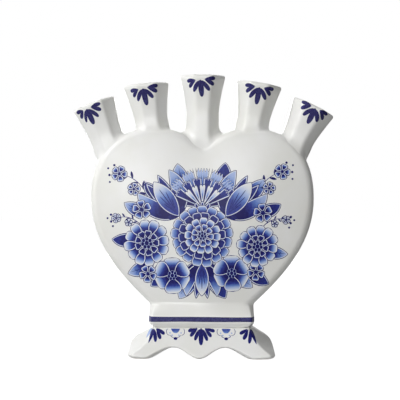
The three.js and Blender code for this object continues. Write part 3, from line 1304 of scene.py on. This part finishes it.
@dataclass
class Brush:
    """Paints strokes, each a thin closed plate that lies on the glaze."""

    canvas: Canvas
    chance: random.Random
    outline: float = 0.48
    rim: float = 0.44
    soft: float = 0.18
    first_lift: float = 0.05
    layer_lift: float = 0.01
    sunk: float = 0.15
    cell: float = 1.7
    least_rows: int = 8
    least_half: float = 1e-4
    weld: float = 0.004
    notches: int = 5
    shading_start: float = 0.3
    shading_length: float = 0.65

    def __post_init__(self) -> None:
        """Starts an empty painting."""
        self.bm = bmesh.new()
        self.bm.verts.layers.float.new("cobalt")

    def _depth_at(self, tone: Tone, from_edge: float, along: float) -> float:
        """Works out the depth of the cobalt.

        Args:
            tone: How it lies in the stroke.
            from_edge: Distance from the stroke's edge.
            along: Share of its length.

        Returns:
            The depth there.
        """
        root, tip, rim, edge = tone.value
        eased = min(max((along - self.shading_start) / self.shading_length, 0), 1)
        inside = mix(root, tip, eased * eased * (3 - 2 * eased))
        if not tone.outlined:
            return mix(edge, inside, min(from_edge / self.outline, 1))
        bands = np.cumsum([self.outline, self.soft, self.rim, self.soft])
        return float(np.interp(from_edge, bands, [edge, rim, rim, inside]))

    def stroke(
        self,
        spine: tuple[Vector, ...],
        width: float,
        tone: Tone,
        layer: int,
        form: Form = Form.DROP,
        ragged: float = 0,
    ) -> None:
        """Paints one stroke along a cubic curve.

        Args:
            spine: The curve's four control points on the canvas.
            width: The full width.
            tone: How the cobalt lies across it.
            layer: Its place in the order of painting, from 0 up.
            form: Its outline.
            ragged: Depth of the notches in its tip, as a share of its length.
        """
        length = sum((b - a).length for a, b in zip(spine, spine[1:]))
        steps = max(self.least_rows, math.ceil(length / self.cell))
        rows = {(1 - math.cos(share * math.pi)) / 2 for share in shares(steps)}
        bands = [0.0, self.outline]
        if tone.outlined:
            bands = [0.0, *np.cumsum([self.outline, self.soft, self.rim, self.soft])]
            rows |= {1 - band / length for band in bands[1:] if band < length / 2}
        rows = sorted(rows)
        inner = shares(max(2, math.ceil(width / 2 / self.cell)))[-2::-1]
        count = 2 * (len(bands) + len(inner)) - 1
        bm = bmesh.new()
        depth = bm.verts.layers.float.new("cobalt")
        bmesh.ops.create_grid(bm, x_segments=count - 1, y_segments=len(rows) - 1, size=1)
        bm.verts.ensure_lookup_table()
        for row, along in enumerate(rows):
            half = max(width / 2 * form.share(along), self.least_half)
            places = [max(1 - band / half, 0.0) for band in bands]
            places += [places[-1] * share for share in inner]
            across = [-place for place in places] + places[-2::-1]
            for column, place in enumerate(across):
                notch = 1 - ragged * (0.5 + 0.5 * math.cos(place * self.notches * math.pi))
                spot, side = self.on_curve(spine, along * (notch if ragged else 1))
                vert = bm.verts[row * count + column]
                vert.co = (*(spot + side * place * half), 0)
                from_edge = (1 - abs(place)) * half
                if tone.outlined:
                    from_edge = min(from_edge, (1 - along) * length)
                vert[depth] = self._depth_at(tone, from_edge, along)
        self._add_plate(bm, self.first_lift + self.layer_lift * layer)

    def on_curve(self, spine: tuple[Vector, ...], along: float) -> tuple[Vector, Vector]:
        """Follows a cubic curve.

        Args:
            spine: Its four control points.
            along: Share of its length.

        Returns:
            The point there, and the step to its right.
        """
        a, b, c, d = spine
        rest = 1 - along
        spot = a * rest**3 + b * 3 * rest * rest * along + c * 3 * rest * along**2 + d * along**3
        ahead = (b - a) * rest * rest + (c - b) * 2 * rest * along + (d - c) * along * along
        ahead.normalize()
        return spot, Vector((ahead.y, -ahead.x))

    def _add_plate(self, bm: BMesh, lift: float) -> None:
        """Gives a flat stroke its thickness, lays it on the surface and adds it.

        Args:
            bm: The stroke, which is freed.
            lift: How far its face stands off the surface.
        """
        bmesh.ops.remove_doubles(bm, verts=bm.verts, dist=self.weld)
        lower = list(bm.verts)
        grown = bmesh.ops.extrude_face_region(bm, geom=bm.faces)["geom"]
        upper = [item for item in grown if isinstance(item, BMVert)]
        bmesh.ops.translate(bm, vec=(0, 0, 1), verts=upper)
        bmesh.ops.recalc_face_normals(bm, faces=bm.faces)
        for verts, height in ((lower, -self.sunk), (upper, lift)):
            for vert in verts:
                vert.co = self.canvas.lay(vert.co, height)
        scratch = bpy.data.meshes.new("stroke")
        bm.to_mesh(scratch)
        bm.free()
        self.bm.from_mesh(scratch)
        bpy.data.meshes.remove(scratch)

    def petal(
        self,
        root: Vector,
        degrees: float,
        length: float,
        width: float,
        tone: Tone,
        layer: int,
        form: Form = Form.DROP,
        bend: float = 0,
        ragged: float = 0,
    ) -> None:
        """Paints a stroke from a root in a direction.

        Args:
            root: Where it starts.
            degrees: Its direction, clockwise from straight up.
            length: Its length.
            width: The full width.
            tone: How the cobalt lies across it.
            layer: Its place in the order of painting.
            form: Its outline.
            bend: How far its middle is bent aside, as a share of its length.
            ragged: Depth of the notches in its tip, as a share of its length.
        """
        tip = root + toward(degrees, length)
        spine = bent(root, tip, toward(degrees + 90, bend * length))
        self.stroke(spine, width, tone, layer, form, ragged)

    def dot(self, middle: Vector, size: float, tone: Tone, layer: int) -> None:
        """Paints a round dab."""
        root = middle - Vector((0, size / 2))
        self.petal(root, 0, size, size, tone, layer, Form.ROUND)

    def finish(self, name: str, cobalt: Material) -> None:
        """Makes the painting a piece."""
        add_piece(self.bm, name, [cobalt])


@dataclass(frozen=True)
class Dab:
    """One brush stroke of a palmette, each end given across and down from the root."""

    start: tuple[float, float]
    end: tuple[float, float]
    width: float
    form: Form = Form.DAB
    tone: Tone = Tone.SOLID


@dataclass(frozen=True)
class Palmette:
    """Fan of plain brush strokes that hangs from its root."""

    dabs: tuple[Dab, ...]
    mirrored: bool = True
    bend: float = 0.05
    stray: float = 0.3

    def paint(self, brush: Brush, root: Vector, degrees: float = 0) -> None:
        """Paints the fan, its first stroke in the middle and the rest on both sides.

        Args:
            brush: The brush.
            root: Where the strokes meet.
            degrees: How far the fan is turned, counter-clockwise.
        """
        turn = Matrix.Rotation(math.radians(degrees), 2)
        for number, dab in enumerate(self.dabs):
            for side in (-1, 1) if self.mirrored and number else (1,):
                start, end = (Vector((side * x, -down)) for x, down in (dab.start, dab.end))
                end += Vector([brush.chance.uniform(-self.stray, self.stray) for _ in range(2)])
                start, end = root + turn @ start, root + turn @ end
                bend = -self.bend * side if number else 0
                spine = bent(start, end, Vector((end.y - start.y, start.x - end.x)) * bend)
                brush.stroke(spine, dab.width, dab.tone, number, dab.form)


SPOUT_PALMETTE = Palmette(
    (
        Dab((0, -0.3), (0, 12.8), 4.4),
        Dab((0.6, 0.4), (6.2, 8.6), 3.2),
        Dab((3.3, 0.0), (9.8, 4.6), 3.2, Form.DROP),
        Dab((3.1, -0.4), (11.2, -0.4), 3.1, Form.DROP),
    )
)
FOOT_PALMETTE = Palmette(
    (
        Dab((0, -0.4), (0.1, 12.3), 3.7),
        Dab((0.8, 0.4), (4.7, 8.8), 2.9),
        Dab((2.8, 0.1), (8.0, 6.0), 2.9, Form.DROP),
        Dab((2.8, -0.3), (10.4, 2.0), 2.9, Form.DROP),
    )
)
LEFT_CORNER_PALMETTE = Palmette(
    (
        Dab((-1.9, 0.2), (-6.1, 6.9), 1.8, Form.REED, Tone.WASH),
        Dab((-0.9, 0.3), (-4.5, 11.2), 2.4, Form.REED),
        Dab((-0.3, 0.3), (1.1, 10.2), 2.9),
        Dab((1.5, 0.1), (4.8, 7.7), 2.9, Form.DROP),
        Dab((1.7, -0.1), (8.0, 4.4), 2.8, Form.DROP),
    ),
    mirrored=False,
)
RIGHT_CORNER_PALMETTE = Palmette(
    (
        Dab((0.9, 0.5), (5.5, 11.2), 2.4, Form.REED),
        Dab((0.6, 0.3), (-0.7, 10.8), 2.9),
        Dab((-1.3, 0.2), (-5.0, 8.1), 3.0, Form.DROP),
        Dab((-1.6, -0.1), (-7.9, 3.8), 2.8, Form.DROP),
    ),
    mirrored=False,
)


@dataclass(frozen=True)
class HalfRosette:
    """Scalloped half flower that hangs under the plinth between two palmettes."""

    disc_width: float = 7
    disc_depth: float = 3.3
    line: float = 0.42
    # Each scallop as a curve's four points across and down from the root, on the right side.
    scallops: tuple[tuple[tuple[float, float], ...], ...] = (
        ((6.1, 0.1), (8.0, 1.6), (6.9, 5.6), (3.7, 4.9)),
        ((3.7, 4.8), (3.6, 6.3), (2.2, 6.4), (0.4, 7.1)),
    )
    tints: tuple[tuple[float, float], ...] = ((4.3, 3.2), (2.6, 4.9))
    tint_size: float = 1.1
    drop: float = 7.4
    drop_half: float = 1.5
    drop_width: float = 2.1

    def paint(self, brush: Brush, root: Vector) -> None:
        """Paints the half disc, its scalloped outline, its tints and its drop.

        Args:
            brush: The brush.
            root: The middle of the half disc's straight edge.
        """
        brush.petal(root, 180, self.disc_depth, self.disc_width, Tone.HALF, 1, Form.BOWL)
        for side in (-1, 1):
            for scallop in self.scallops:
                spine = tuple(root + Vector((side * x, -down)) for x, down in scallop)
                brush.stroke(spine, self.line, Tone.SOLID, 1, Form.LINE)
            for x, down in self.tints:
                brush.dot(root + Vector((side * x, -down)), self.tint_size, Tone.WASH, 2)
        left, right = (root + Vector((side * self.drop_half, -self.drop)) for side in (-1, 1))
        spine = bent(left, right, Vector((0, 0)))
        brush.stroke(spine, self.drop_width, Tone.SOLID, 2, Form.DAB)


@dataclass(frozen=True)
class Petals:
    """Ring of petals in a flower, its radii given as shares of the flower's.

    A petal is as wide as its neighbours' overlap asks for, unless a width is given. It sways by
    up to so many degrees, and with a sway its reach varies too.
    """

    count: int
    start: float
    end: float
    tone: Tone
    turn: float = 0
    width: float = 0
    widest: float = 0.62
    overlap: float = 1.25
    sway: float = 2
    reaches: tuple[float, float] = (0.93, 1.05)

    def width_in(self, radius: float) -> float:
        """Width of each petal in a flower of that radius."""
        middle = mix(radius * self.start, radius * self.end, self.widest)
        return radius * self.width or 2 * math.pi * middle / self.count * self.overlap


@dataclass(frozen=True)
class Flower:
    """Open flower: rings of petals from the outermost in, and a share that sizes its eye."""

    rings: tuple[Petals, ...]
    eye: float = 0


CHRYSANTHEMUM = Flower(
    (
        Petals(17, 0.5, 1, Tone.SHADED),
        Petals(14, 0.36, 0.78, Tone.DEEP, 9),
        Petals(12, 0.2, 0.6, Tone.BLUSH, 4),
        Petals(9, 0.1, 0.38, Tone.SHADED, 15),
    ),
    0.08,
)
DAISY = Flower((Petals(12, 0.3, 1, Tone.BLUSH), Petals(9, 0.18, 0.56, Tone.DEEP, 16)), 0.14)
ANEMONE = Flower((Petals(6, 0.1, 1.1, Tone.BLUSH, 0, 0.98, sway=6, reaches=(0.86, 0.96)),), 0.15)
SMALL_FLOWER = Flower((Petals(5, 0.12, 1.02, Tone.SHADED, 0, 0.92, sway=0),))
# Direction of each leaf on the right, its start from the bouquet's centre, and its length.
LEAVES = (
    (21, 32, 30),
    (46, 40, 24),
    (67, 44, 23),
    (97, 48, 23),
    (122, 42, 24),
    (139, 33, 26),
    (161, 22, 29),
)


@dataclass
class Bouquet:
    """Symmetrical garden bouquet: a chrysanthemum with tulips, pinks, daisies and sprigs.

    Angles run clockwise from straight up, and what a flower's size is multiplied with are its
    proportions as drawn.
    """

    cobalt: Material
    skin: BVHTree
    centre: Vector = field(default_factory=lambda: Vector((0, 95)))
    back_rise: float = 4
    beads: int = 7
    stem_width: float = 0.6
    vein_width: float = 0.7
    side_vein_width: float = 0.4
    leaf_bend: float = 0.08
    seed: int = 7
    brush: Brush = field(init=False)

    def _start(self, side: int) -> None:
        """Takes a fresh brush to the front (-1) or the back (1) of the heart."""
        self.brush = Brush(Canvas(self.skin, facing(side)), random.Random(self.seed))

    def flower(
        self, kind: Flower, middle: Vector, radius: float, layer: int, turn: float = 0
    ) -> None:
        """Paints an open flower from its outer ring inwards, every other petal on top.

        Args:
            kind: Which flower.
            middle: Its middle.
            radius: Its radius.
            layer: The lowest of its layers, of which each ring takes two.
            turn: Direction of its first petal.
        """
        chance = self.brush.chance
        for number, ring in enumerate(kind.rings):
            width = ring.width_in(radius)
            for k in range(ring.count):
                degrees = turn + ring.turn + 360 * k / ring.count
                reach = radius * ring.end - radius * ring.start
                if ring.sway:
                    degrees += chance.uniform(-ring.sway, ring.sway)
                    reach *= chance.uniform(*ring.reaches)
                root = middle + toward(degrees, radius * ring.start)
                on = layer + 2 * number + k % 2
                self.brush.petal(root, degrees, reach, width, ring.tone, on)
        if kind.eye:
            self.eye(middle, radius * kind.eye, layer + 2 * len(kind.rings))

    def eye(self, middle: Vector, size: float, layer: int) -> None:
        """Paints the middle of a flower: a dark bead in a ring of smaller ones.

        Args:
            middle: Its middle.
            size: What sizes the beads.
            layer: The lowest of its three layers.
        """
        for k in range(self.beads):
            spot = middle + toward(360 * k / self.beads, size * 1.25)
            self.brush.dot(spot, size * 1.2, Tone.BEAD, layer + k % 2)
        self.brush.dot(middle, size * 1.5, Tone.BEAD, layer + 2)

    def small_flower(self, middle: Vector, radius: float, layer: int) -> None:
        """Paints a flower of five round petals, turned by chance, with a dot for its eye.

        Args:
            middle: Its middle.
            radius: Its radius.
            layer: The lowest of its three layers.
        """
        turn = self.brush.chance.uniform(0, 72)
        self.flower(SMALL_FLOWER, middle, radius, layer, turn)
        self.brush.dot(middle, radius * 0.36, Tone.SOLID, layer + 2)

    def tulip(self, root: Vector, degrees: float, height: float, layer: int) -> None:
        """Paints a tulip seen from the side.

        Args:
            root: Where its petals meet.
            degrees: Its direction.
            height: Its length.
            layer: The lowest of its layers.
        """
        for side in (-1, 1):
            for lean, reach, width, tone, up, bend in (
                (9, 0.98, 0.24, Tone.DEEP, 0, 0.02),
                (24, 1, 0.36, Tone.SHADED, 1, 0.16),
            ):
                size = height * reach, height * width
                turned = degrees + side * lean
                self.brush.petal(root, turned, *size, tone, layer + up, Form.LEAF, side * bend)
        size = height * 0.9, height * 0.4
        self.brush.petal(root, degrees, *size, Tone.PALE, layer + 2, Form.LEAF)
        start = root + toward(degrees, height * 0.08)
        for lean, reach in ((0, 0.62), (-9, 0.5), (9, 0.5), (-17, 0.34), (17, 0.34)):
            size = height * reach, self.vein_width
            self.brush.petal(start, degrees + lean, *size, Tone.SOLID, layer + 3)
        size = height * 0.24, height * 0.09
        for lean in (-62, 62):
            self.brush.petal(root, degrees + lean, *size, Tone.SOLID, layer + 3)

    def pink(self, root: Vector, height: float, layer: int) -> None:
        """Paints an upright pink from the side, a fan of notched petals over a dark cup.

        Args:
            root: The middle of the fan.
            height: Its length.
            layer: The lowest of its layers.
        """
        start = root + toward(0, height * 0.06)
        for count, spread, reach, tone, up in (
            (7, 74, 1, Tone.SHADED, 0),
            (6, 58, 0.8, Tone.DEEP, 2),
            (5, 44, 0.6, Tone.PALE, 4),
        ):
            size = height * reach, 2 * math.radians(spread) * height * reach / count * 0.98
            for k, share in enumerate(shares(count - 1)):
                angle = mix(-spread, spread, share)
                on = layer + up + k % 2
                self.brush.petal(start, angle, *size, tone, on, Form.FAN, ragged=0.1)
        start = root - toward(0, height * 0.2)
        size = height * 0.42, height * 0.14
        for angle in (-26, 0, 26):
            self.brush.petal(start, angle, *size, Tone.DEEP, layer + 6)

    def leaf(self, root: Vector, degrees: float, length: float, tone: Tone, bend: float) -> None:
        """Paints a broad leaf with its veins.

        Args:
            root: Where it starts.
            degrees: Its direction.
            length: Its length.
            tone: Its tone.
            bend: How far its middle is bent aside, as a share of its length.
        """
        self.brush.petal(root, degrees, length, length * 0.5, tone, 1, Form.LEAF, bend)
        size = length * 0.88, self.stem_width
        self.brush.petal(root, degrees, *size, Tone.SOLID, 2, Form.LINE, bend)
        for share in (0.25, 0.45, 0.65):
            start = root + toward(degrees, length * share)
            start += toward(degrees + 90, bend * length * 3 * share * (1 - share))
            size = length * 0.2 * math.sin(math.pi * (share + 0.15)), self.side_vein_width
            for lean in (-42, 42):
                self.brush.petal(start, degrees + lean, *size, Tone.SOLID, 2, Form.LINE)

    def sprig(self, start: Vector, degrees: float, length: float, side: int) -> None:
        """Paints a fine arching twig with small leaves, small flowers and dots.

        Args:
            start: Where it leaves the bouquet.
            degrees: Direction in which it starts.
            length: Its reach.
            side: Which way it bends, 1 for clockwise.
        """
        brush = self.brush
        b = start + toward(degrees, length * 0.4)
        c = b + toward(degrees + side * 34, length * 0.35)
        end = c + toward(degrees + side * 70, length * 0.35)
        spine = (start, b, c, end)
        brush.stroke(spine, self.stem_width, Tone.SOLID, 0, Form.LINE)
        size = length * 0.16, length * 0.055
        for number, share in enumerate((0.25, 0.4, 0.55, 0.7, 0.82)):
            spot, _ = brush.on_curve(spine, share)
            lean = 48 if number % 2 else -48
            brush.petal(spot, degrees + side * 70 * share + lean, *size, Tone.SOLID, 1, Form.LEAF)
        for k in range(4):
            spot = end + toward(degrees + side * mix(20, 120, k / 3), length * 0.21 + k % 2 * 2)
            brush.dot(spot, 1.9 - 0.3 * (k % 2), Tone.SOLID, 1)
        self.small_flower(end, length * 0.17, 3)
        spot, _ = brush.on_curve(spine, 0.52)
        beside = spot + toward(degrees + side * 35 + side * 90, length * 0.16)
        self.small_flower(beside, length * 0.14, 3)

    def greenery(self, half: int) -> None:
        """Paints the leaves of one half of the bouquet, left (-1) or right (1).

        Args:
            half: The half.
        """
        tones = [Tone.SHADED, Tone.DEEP]
        for number, (degrees, start, length) in enumerate(LEAVES):
            turned = half * (degrees + self.brush.chance.uniform(-5, 5))
            root = self.centre + toward(turned, start)
            reach = length * self.brush.chance.uniform(0.88, 1.08)
            tone = tones[(number + (half > 0)) % 2]
            self.leaf(root, turned, reach, tone, half * self.leaf_bend)

    def paint_front(self) -> None:
        """Paints the whole bouquet on the front."""

        def at(x: float, up: float) -> Vector:
            """Place at a step from the bouquet's centre."""
            return self.centre + Vector((x, up))

        self._start(-1)
        for half in (-1, 1):
            self.greenery(half)
        self.brush.finish("bouquet_front_leaves", self.cobalt)
        for half, name in ((-1, "left"), (1, "right")):
            self._start(-1)
            stray = self.brush.chance.uniform
            self.sprig(at(half * 40, 22), half * (8 - half * 3), 37, half)
            self.sprig(at(half * 46, 6), half * 38, 22 - half, half)
            self.tulip(at(half * 18, 15), half * 37, 37 + stray(-1, 1), 3)
            self.flower(ANEMONE, at(half * 23, -30 + half), 14.5, 5)
            size = 17.5 - half * 0.8
            self.flower(DAISY, at(half * 43, -7 - half), size, 12, 8 * half)
            self.small_flower(at(half * 42, -29 + half), 7, 8)
            self.small_flower(at(half * 47, 19 - half), 7.5, 12)
            self.brush.finish(f"bouquet_front_{name}", self.cobalt)
        self._start(-1)
        self.pink(at(0, 20), 31, 3)
        self.tulip(at(0, -21), 180, 29, 3)
        self.flower(CHRYSANTHEMUM, self.centre, 24.5, 14)
        self.brush.finish("bouquet_front_middle", self.cobalt)

    def paint_back(self) -> None:
        """Paints a lighter bouquet on the back."""
        middle = self.centre + Vector((0, self.back_rise))
        self._start(1)
        for half in (-1, 1):
            for degrees, start, length in ((60, 14, 27), (118, 15, 30), (160, 12, 30)):
                root = middle + toward(half * degrees, start)
                self.leaf(root, half * degrees, length, Tone.SHADED, half * self.leaf_bend)
            self.sprig(middle + Vector((half * 14, 10)), half * 34, 42, half)
            self.small_flower(middle + Vector((half * 26, -24)), 8, 4)
        self.brush.finish("bouquet_back_leaves", self.cobalt)
        self._start(1)
        self.tulip(middle + Vector((0, 13)), 0, 36, 3)
        self.flower(DAISY, middle, 20, 7)
        self.brush.finish("bouquet_back_middle", self.cobalt)


@dataclass(frozen=True)
class Placing:
    """Where a palmette sits on a spout: across it, down from its rim, and its turn in degrees."""

    across: float
    down: float
    degrees: float = 0


PLACINGS = {
    "spout_far_left": Placing(-5.6, 3.8),
    "spout_left": Placing(-2.3, 4.4, 3),
    "spout_centre": Placing(-1.8, 4.6, 6),
    "spout_right": Placing(0.1, 4.2),
    "spout_far_right": Placing(1, 2.4),
}


FOOT_ROW = (
    (FOOT_PALMETTE, -0.4),
    (LEFT_CORNER_PALMETTE, -36.8),
    (RIGHT_CORNER_PALMETTE, 37.2),
    (HalfRosette(), -20.2),
    (HalfRosette(), 19.0),
)


@dataclass
class Trim:
    """Brushwork on the spouts, the plinth and the foot.

    The stripe's heights count from the plinth's bottom. Its two edges stray in slow waves.
    """

    cobalt: Material
    thin_cobalt: Material
    seed: int = 3
    lift: float = 0.09
    cell: float = 0.8
    spout_wrap: float = 16
    foot_root: float = 22.8
    stripe_low: float = 4.7
    stripe_high: float = 8.7
    stripe_shares: tuple[float, ...] = (0, 0.12, 0.88, 1)
    stripe_lift: float = 0.06
    stripe_sunk: float = 0.4
    stripe_depth: float = 0.92
    wobble: float = 0.22
    waves: int = 3
    wave_counts: tuple[int, int] = (1, 6)
    wave_phases: tuple[float, float] = (0, 6.28)

    def paint_spout(self, spout: Spout, surface: BVHTree) -> None:
        """Paints a palmette under the rim, on the front and on the back.

        Args:
            spout: The spout.
            surface: Its surface.
        """
        placing = PLACINGS[spout.name]
        upright = Matrix(((0, 0, 1, 0), (1, 0, 0, 0), (0, 1, 0, 0), (0, 0, 0, 1)))
        for side, name in SIDES:
            out = Matrix.Rotation(side * math.pi / 2, 4, "Z")
            canvas = Canvas(surface, spout.place @ out @ upright, self.spout_wrap)
            chance = random.Random(f"{spout.name} {name}")
            brush = Brush(canvas, chance, first_lift=self.lift, cell=self.cell)
            across = placing.across if side < 0 else 0
            SPOUT_PALMETTE.paint(brush, Vector((across, -placing.down)), placing.degrees)
            brush.finish(f"{spout.name}_palmette_{name}", self.thin_cobalt)

    def paint_foot(self, surface: BVHTree) -> None:
        """Paints the row of palmettes and half-rosettes on the front and on the back.

        Args:
            surface: The foot's surface.
        """
        for side, name in SIDES:
            canvas = Canvas(surface, facing(side))
            chance = random.Random(self.seed)
            brush = Brush(canvas, chance, first_lift=self.lift, cell=self.cell)
            for figure, across in FOOT_ROW:
                figure.paint(brush, Vector((across, self.foot_root)))
            brush.finish(f"foot_row_{name}", self.cobalt)

    def paint_stripe(self, plinth: Plinth) -> None:
        """Paints the stripe round the nose of the plinth.

        Args:
            plinth: The plinth.
        """
        chance = random.Random(self.seed)
        count = len(plinth.nose(self.stripe_low))
        waves = []
        for _ in range(2 * self.waves):
            waves.append((chance.randint(*self.wave_counts), chance.uniform(*self.wave_phases)))

        def sway(k: int, first: int) -> float:
            """Works out how far an edge strays.

            Args:
                k: The point's number in the ring.
                first: The first of the edge's waves.

            Returns:
                The distance at that point.
            """
            turn = 2 * math.pi * k / count
            picked = waves[first : first + self.waves]
            return self.wobble / 2 * sum(math.sin(n * turn + phase) for n, phase in picked)

        rings = []
        for lift in (self.stripe_lift, -self.stripe_sunk):
            band = []
            for share in self.stripe_shares:
                ring = []
                for k in range(count):
                    low = self.stripe_low + sway(k, 0)
                    high = self.stripe_high + sway(k, self.waves)
                    ring.append(plinth.nose(mix(low, high, share), lift)[k])
                band.append(ring)
            rings.extend(band if lift > 0 else band[::-1])
        bm = loft(rings, closed=True)
        depth = bm.verts.layers.float.new("cobalt")
        for vert in bm.verts:
            vert[depth] = self.stripe_depth
        add_piece(bm, "plinth_stripe", [self.thin_cobalt])


# Room


@dataclass(frozen=True)
class SoftBox:
    """A square soft box that looks at the vase."""

    name: str
    place: tuple[float, float, float]
    watts: float
    size: float = 0.9
    target: tuple[float, float, float] = (0, 0, 0.11)

    def build(self) -> None:
        """Makes the lamp."""
        lamp = bpy.data.lights.new(self.name, "AREA")
        lamp.energy = self.watts
        lamp.size = self.size
        box = bpy.data.objects.new(self.name, lamp)
        box.location = self.place
        aim = Vector(self.target) - Vector(self.place)
        box.rotation_euler = aim.to_track_quat("-Z", "Y").to_euler()
        bpy.context.scene.collection.objects.link(box)


@dataclass(frozen=True)
class Studio:
    """A plain white room with soft light from the left, and the photograph's camera.

    Places are in metres. A fade gives the X up to which the room is bright and the X from which
    it has the dim side's level.
    """

    fill: float = 0.1
    dim_side: float = 0.12
    wall_fade: tuple[float, float] = (-0.1, 0.9)
    floor_fade: tuple[float, float] = (0.05, 0.4)
    floor_grey: str = "#949494"
    floor_glow: float = 0.985
    floor_size: float = 6
    lamps: tuple[SoftBox, ...] = (
        SoftBox("front_left_box", (-1.15, -1.05, 1.0), 13),
        SoftBox("left_box", (-1.6, -0.3, 0.5), 4.6),
        SoftBox("front_box", (-0.25, -1.75, 0.2), 15.7),
        SoftBox("top_box", (-1.0, -0.25, 1.45), 6.8),
        SoftBox("back_box", (-0.3, 1.9, 0.3), 20),
        SoftBox("right_back_box", (1.35, 1.6, 0.2), 2.2),
    )
    camera_place: tuple[float, float, float] = (-0.0019, -1.0, 0.1227)
    roll_degrees: float = 0.37
    lens: float = 113.7

    def build(self) -> None:
        """Makes the world, the floor, the lamps and the camera."""
        self._world()
        self._floor()
        for lamp in self.lamps:
            lamp.build()
        self._camera()
        bpy.context.scene.view_settings.view_transform = "Standard"

    def _seen(self, path: Node) -> Node:
        """Factor that is 1 for what the eye sees, also through glass."""
        rays = {0: path.outputs["Is Camera Ray"], 1: path.outputs["Is Transmission Ray"]}
        return add_node(path.id_data, "Math", rays, operation="MAXIMUM")

    def _fade(self, place: NodeSocket, limits: tuple[float, float]) -> Node:
        """Adds a factor that falls to the right, from 1 to the dim side's level.

        Args:
            place: Direction or place whose X is read.
            limits: The fade.

        Returns:
            The node that gives the factor.
        """
        tree = place.id_data
        values = {"From Min": limits[0], "From Max": limits[1], "To Min": 1.0, "To Max": self.dim_side}
        parts = add_node(tree, "SeparateXYZ", {0: place})
        return add_node(tree, "MapRange", {"Value": parts.outputs["X"], **values})

    def _world(self) -> None:
        """Makes a weak fill light, which fades to the right, in a room that is seen as white."""
        world = bpy.data.worlds.new("white_room")
        bpy.context.scene.world = world
        world.use_nodes = True
        tree = world.node_tree
        tree.nodes.clear()
        path = add_node(tree, "LightPath")
        heading = add_node(tree, "TexCoord").outputs["Generated"]
        levels = {0: path.outputs["Is Glossy Ray"], 2: self.fill, 3: 1.0}
        level = add_node(tree, "Mix", levels, data_type="FLOAT")
        fade = self._fade(heading, self.wall_fade)
        strength = add_node(tree, "Math", {0: level, 1: fade}, operation="MULTIPLY")
        white = colour("#ffffff")
        light = add_node(tree, "Background", {"Color": white, "Strength": strength})
        shown = add_node(tree, "Background", {"Color": white, "Strength": 1.0})
        seen = add_node(tree, "MixShader", {0: self._seen(path), 1: light, 2: shown})
        add_node(tree, "OutputWorld", {"Surface": seen})

    def _floor(self) -> None:
        """Makes a white floor that keeps a faint shadow of the vase."""
        material = blank_material("white_floor")
        tree = material.node_tree
        path = add_node(tree, "LightPath")
        glossy = path.outputs["Is Glossy Ray"]
        fade = self._fade(add_node(tree, "TexCoord").outputs["Object"], self.floor_fade)
        mirrored = add_node(tree, "Math", {0: glossy, 1: fade}, operation="MULTIPLY")
        shown = add_node(tree, "Math", {0: self._seen(path), 1: mirrored}, operation="MAXIMUM")
        strength = add_node(tree, "Math", {0: shown, 1: self.floor_glow}, operation="MULTIPLY")
        matt = add_node(tree, "BsdfDiffuse", {"Color": colour(self.floor_grey)})
        glow = add_node(tree, "Emission", {"Strength": strength})
        add_node(tree, "OutputMaterial", {"Surface": add_node(tree, "AddShader", {0: matt, 1: glow})})
        bm = bmesh.new()
        bmesh.ops.create_grid(bm, x_segments=1, y_segments=1, size=self.floor_size)
        mesh = bpy.data.meshes.new("floor")
        bm.to_mesh(mesh)
        bm.free()
        mesh.materials.append(material)
        floor = bpy.data.objects.new("floor", mesh)
        bpy.context.scene.collection.objects.link(floor)

    def _camera(self) -> None:
        """Sets the camera a metre in front of the vase, level, with a slight roll."""
        camera = bpy.data.objects.new("camera", bpy.data.cameras.new("camera"))
        camera.data.lens = self.lens
        camera.location = self.camera_place
        camera.rotation_euler = (math.pi / 2, math.radians(-self.roll_degrees), 0)
        bpy.context.scene.collection.objects.link(camera)
        bpy.context.scene.camera = camera


def main() -> None:
    """Builds the vase piece by piece, then the room round it."""
    logging.basicConfig(level=logging.INFO, format="%(name)s: %(message)s")
    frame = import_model()

    glaze = TinGlaze().material()
    cobalt = CobaltPaint().material()
    thin_cobalt = THIN_COBALT.material()
    inner_glaze = PlainClay("thin_inner_glaze", "#e4e2dc", "#d9d6cd", 0.35).material()
    clay = PlainClay("bare_clay_sole", "#dccbb0", "#c9b291", 0.85).material()

    heart = Heart(glaze)
    centre_seat = heart.half_width - 0.4
    spouts = [
        Spout("spout_far_left", -1, 13.9, 21.5, 35.4, glaze, heart, rim_half=17.15),
        Spout("spout_left", -1, 47.7, 8.9, 35, glaze, heart, rim_half=18, rim_turn=3.6),
        Spout("spout_centre", -1, centre_seat, 0, 54.9, glaze, heart, 18.1, fillet=8.5, side_radius=6),
        Spout("spout_right", 1, 49, 9.6, 36, glaze, heart, rim_half=18.1, rim_turn=-0.8),
        Spout("spout_far_right", 1, 14.9, 25.9, 33.9, glaze, heart, rim_half=18),
    ]
    heart.build([spout.cutter() for spout in spouts])
    trim = Trim(cobalt, thin_cobalt)
    for spout in spouts:
        trim.paint_spout(spout, spout.build())
    plinth = Plinth(glaze, heart)
    plinth.build()
    trim.paint_stripe(plinth)
    trim.paint_foot(Foot(glaze, clay).build())
    bouquet = Bouquet(cobalt, heart.skin)
    bouquet.paint_front()
    bouquet.paint_back()

    floor_slab = frame["nodes"]["reservoir_floor"]
    floor_slab.data.materials.clear()
    floor_slab.data.materials.append(inner_glaze)
    LOG.info("reservoir_floor: thin glaze")

    Studio().build()


if __name__ == "__main__":
    main()
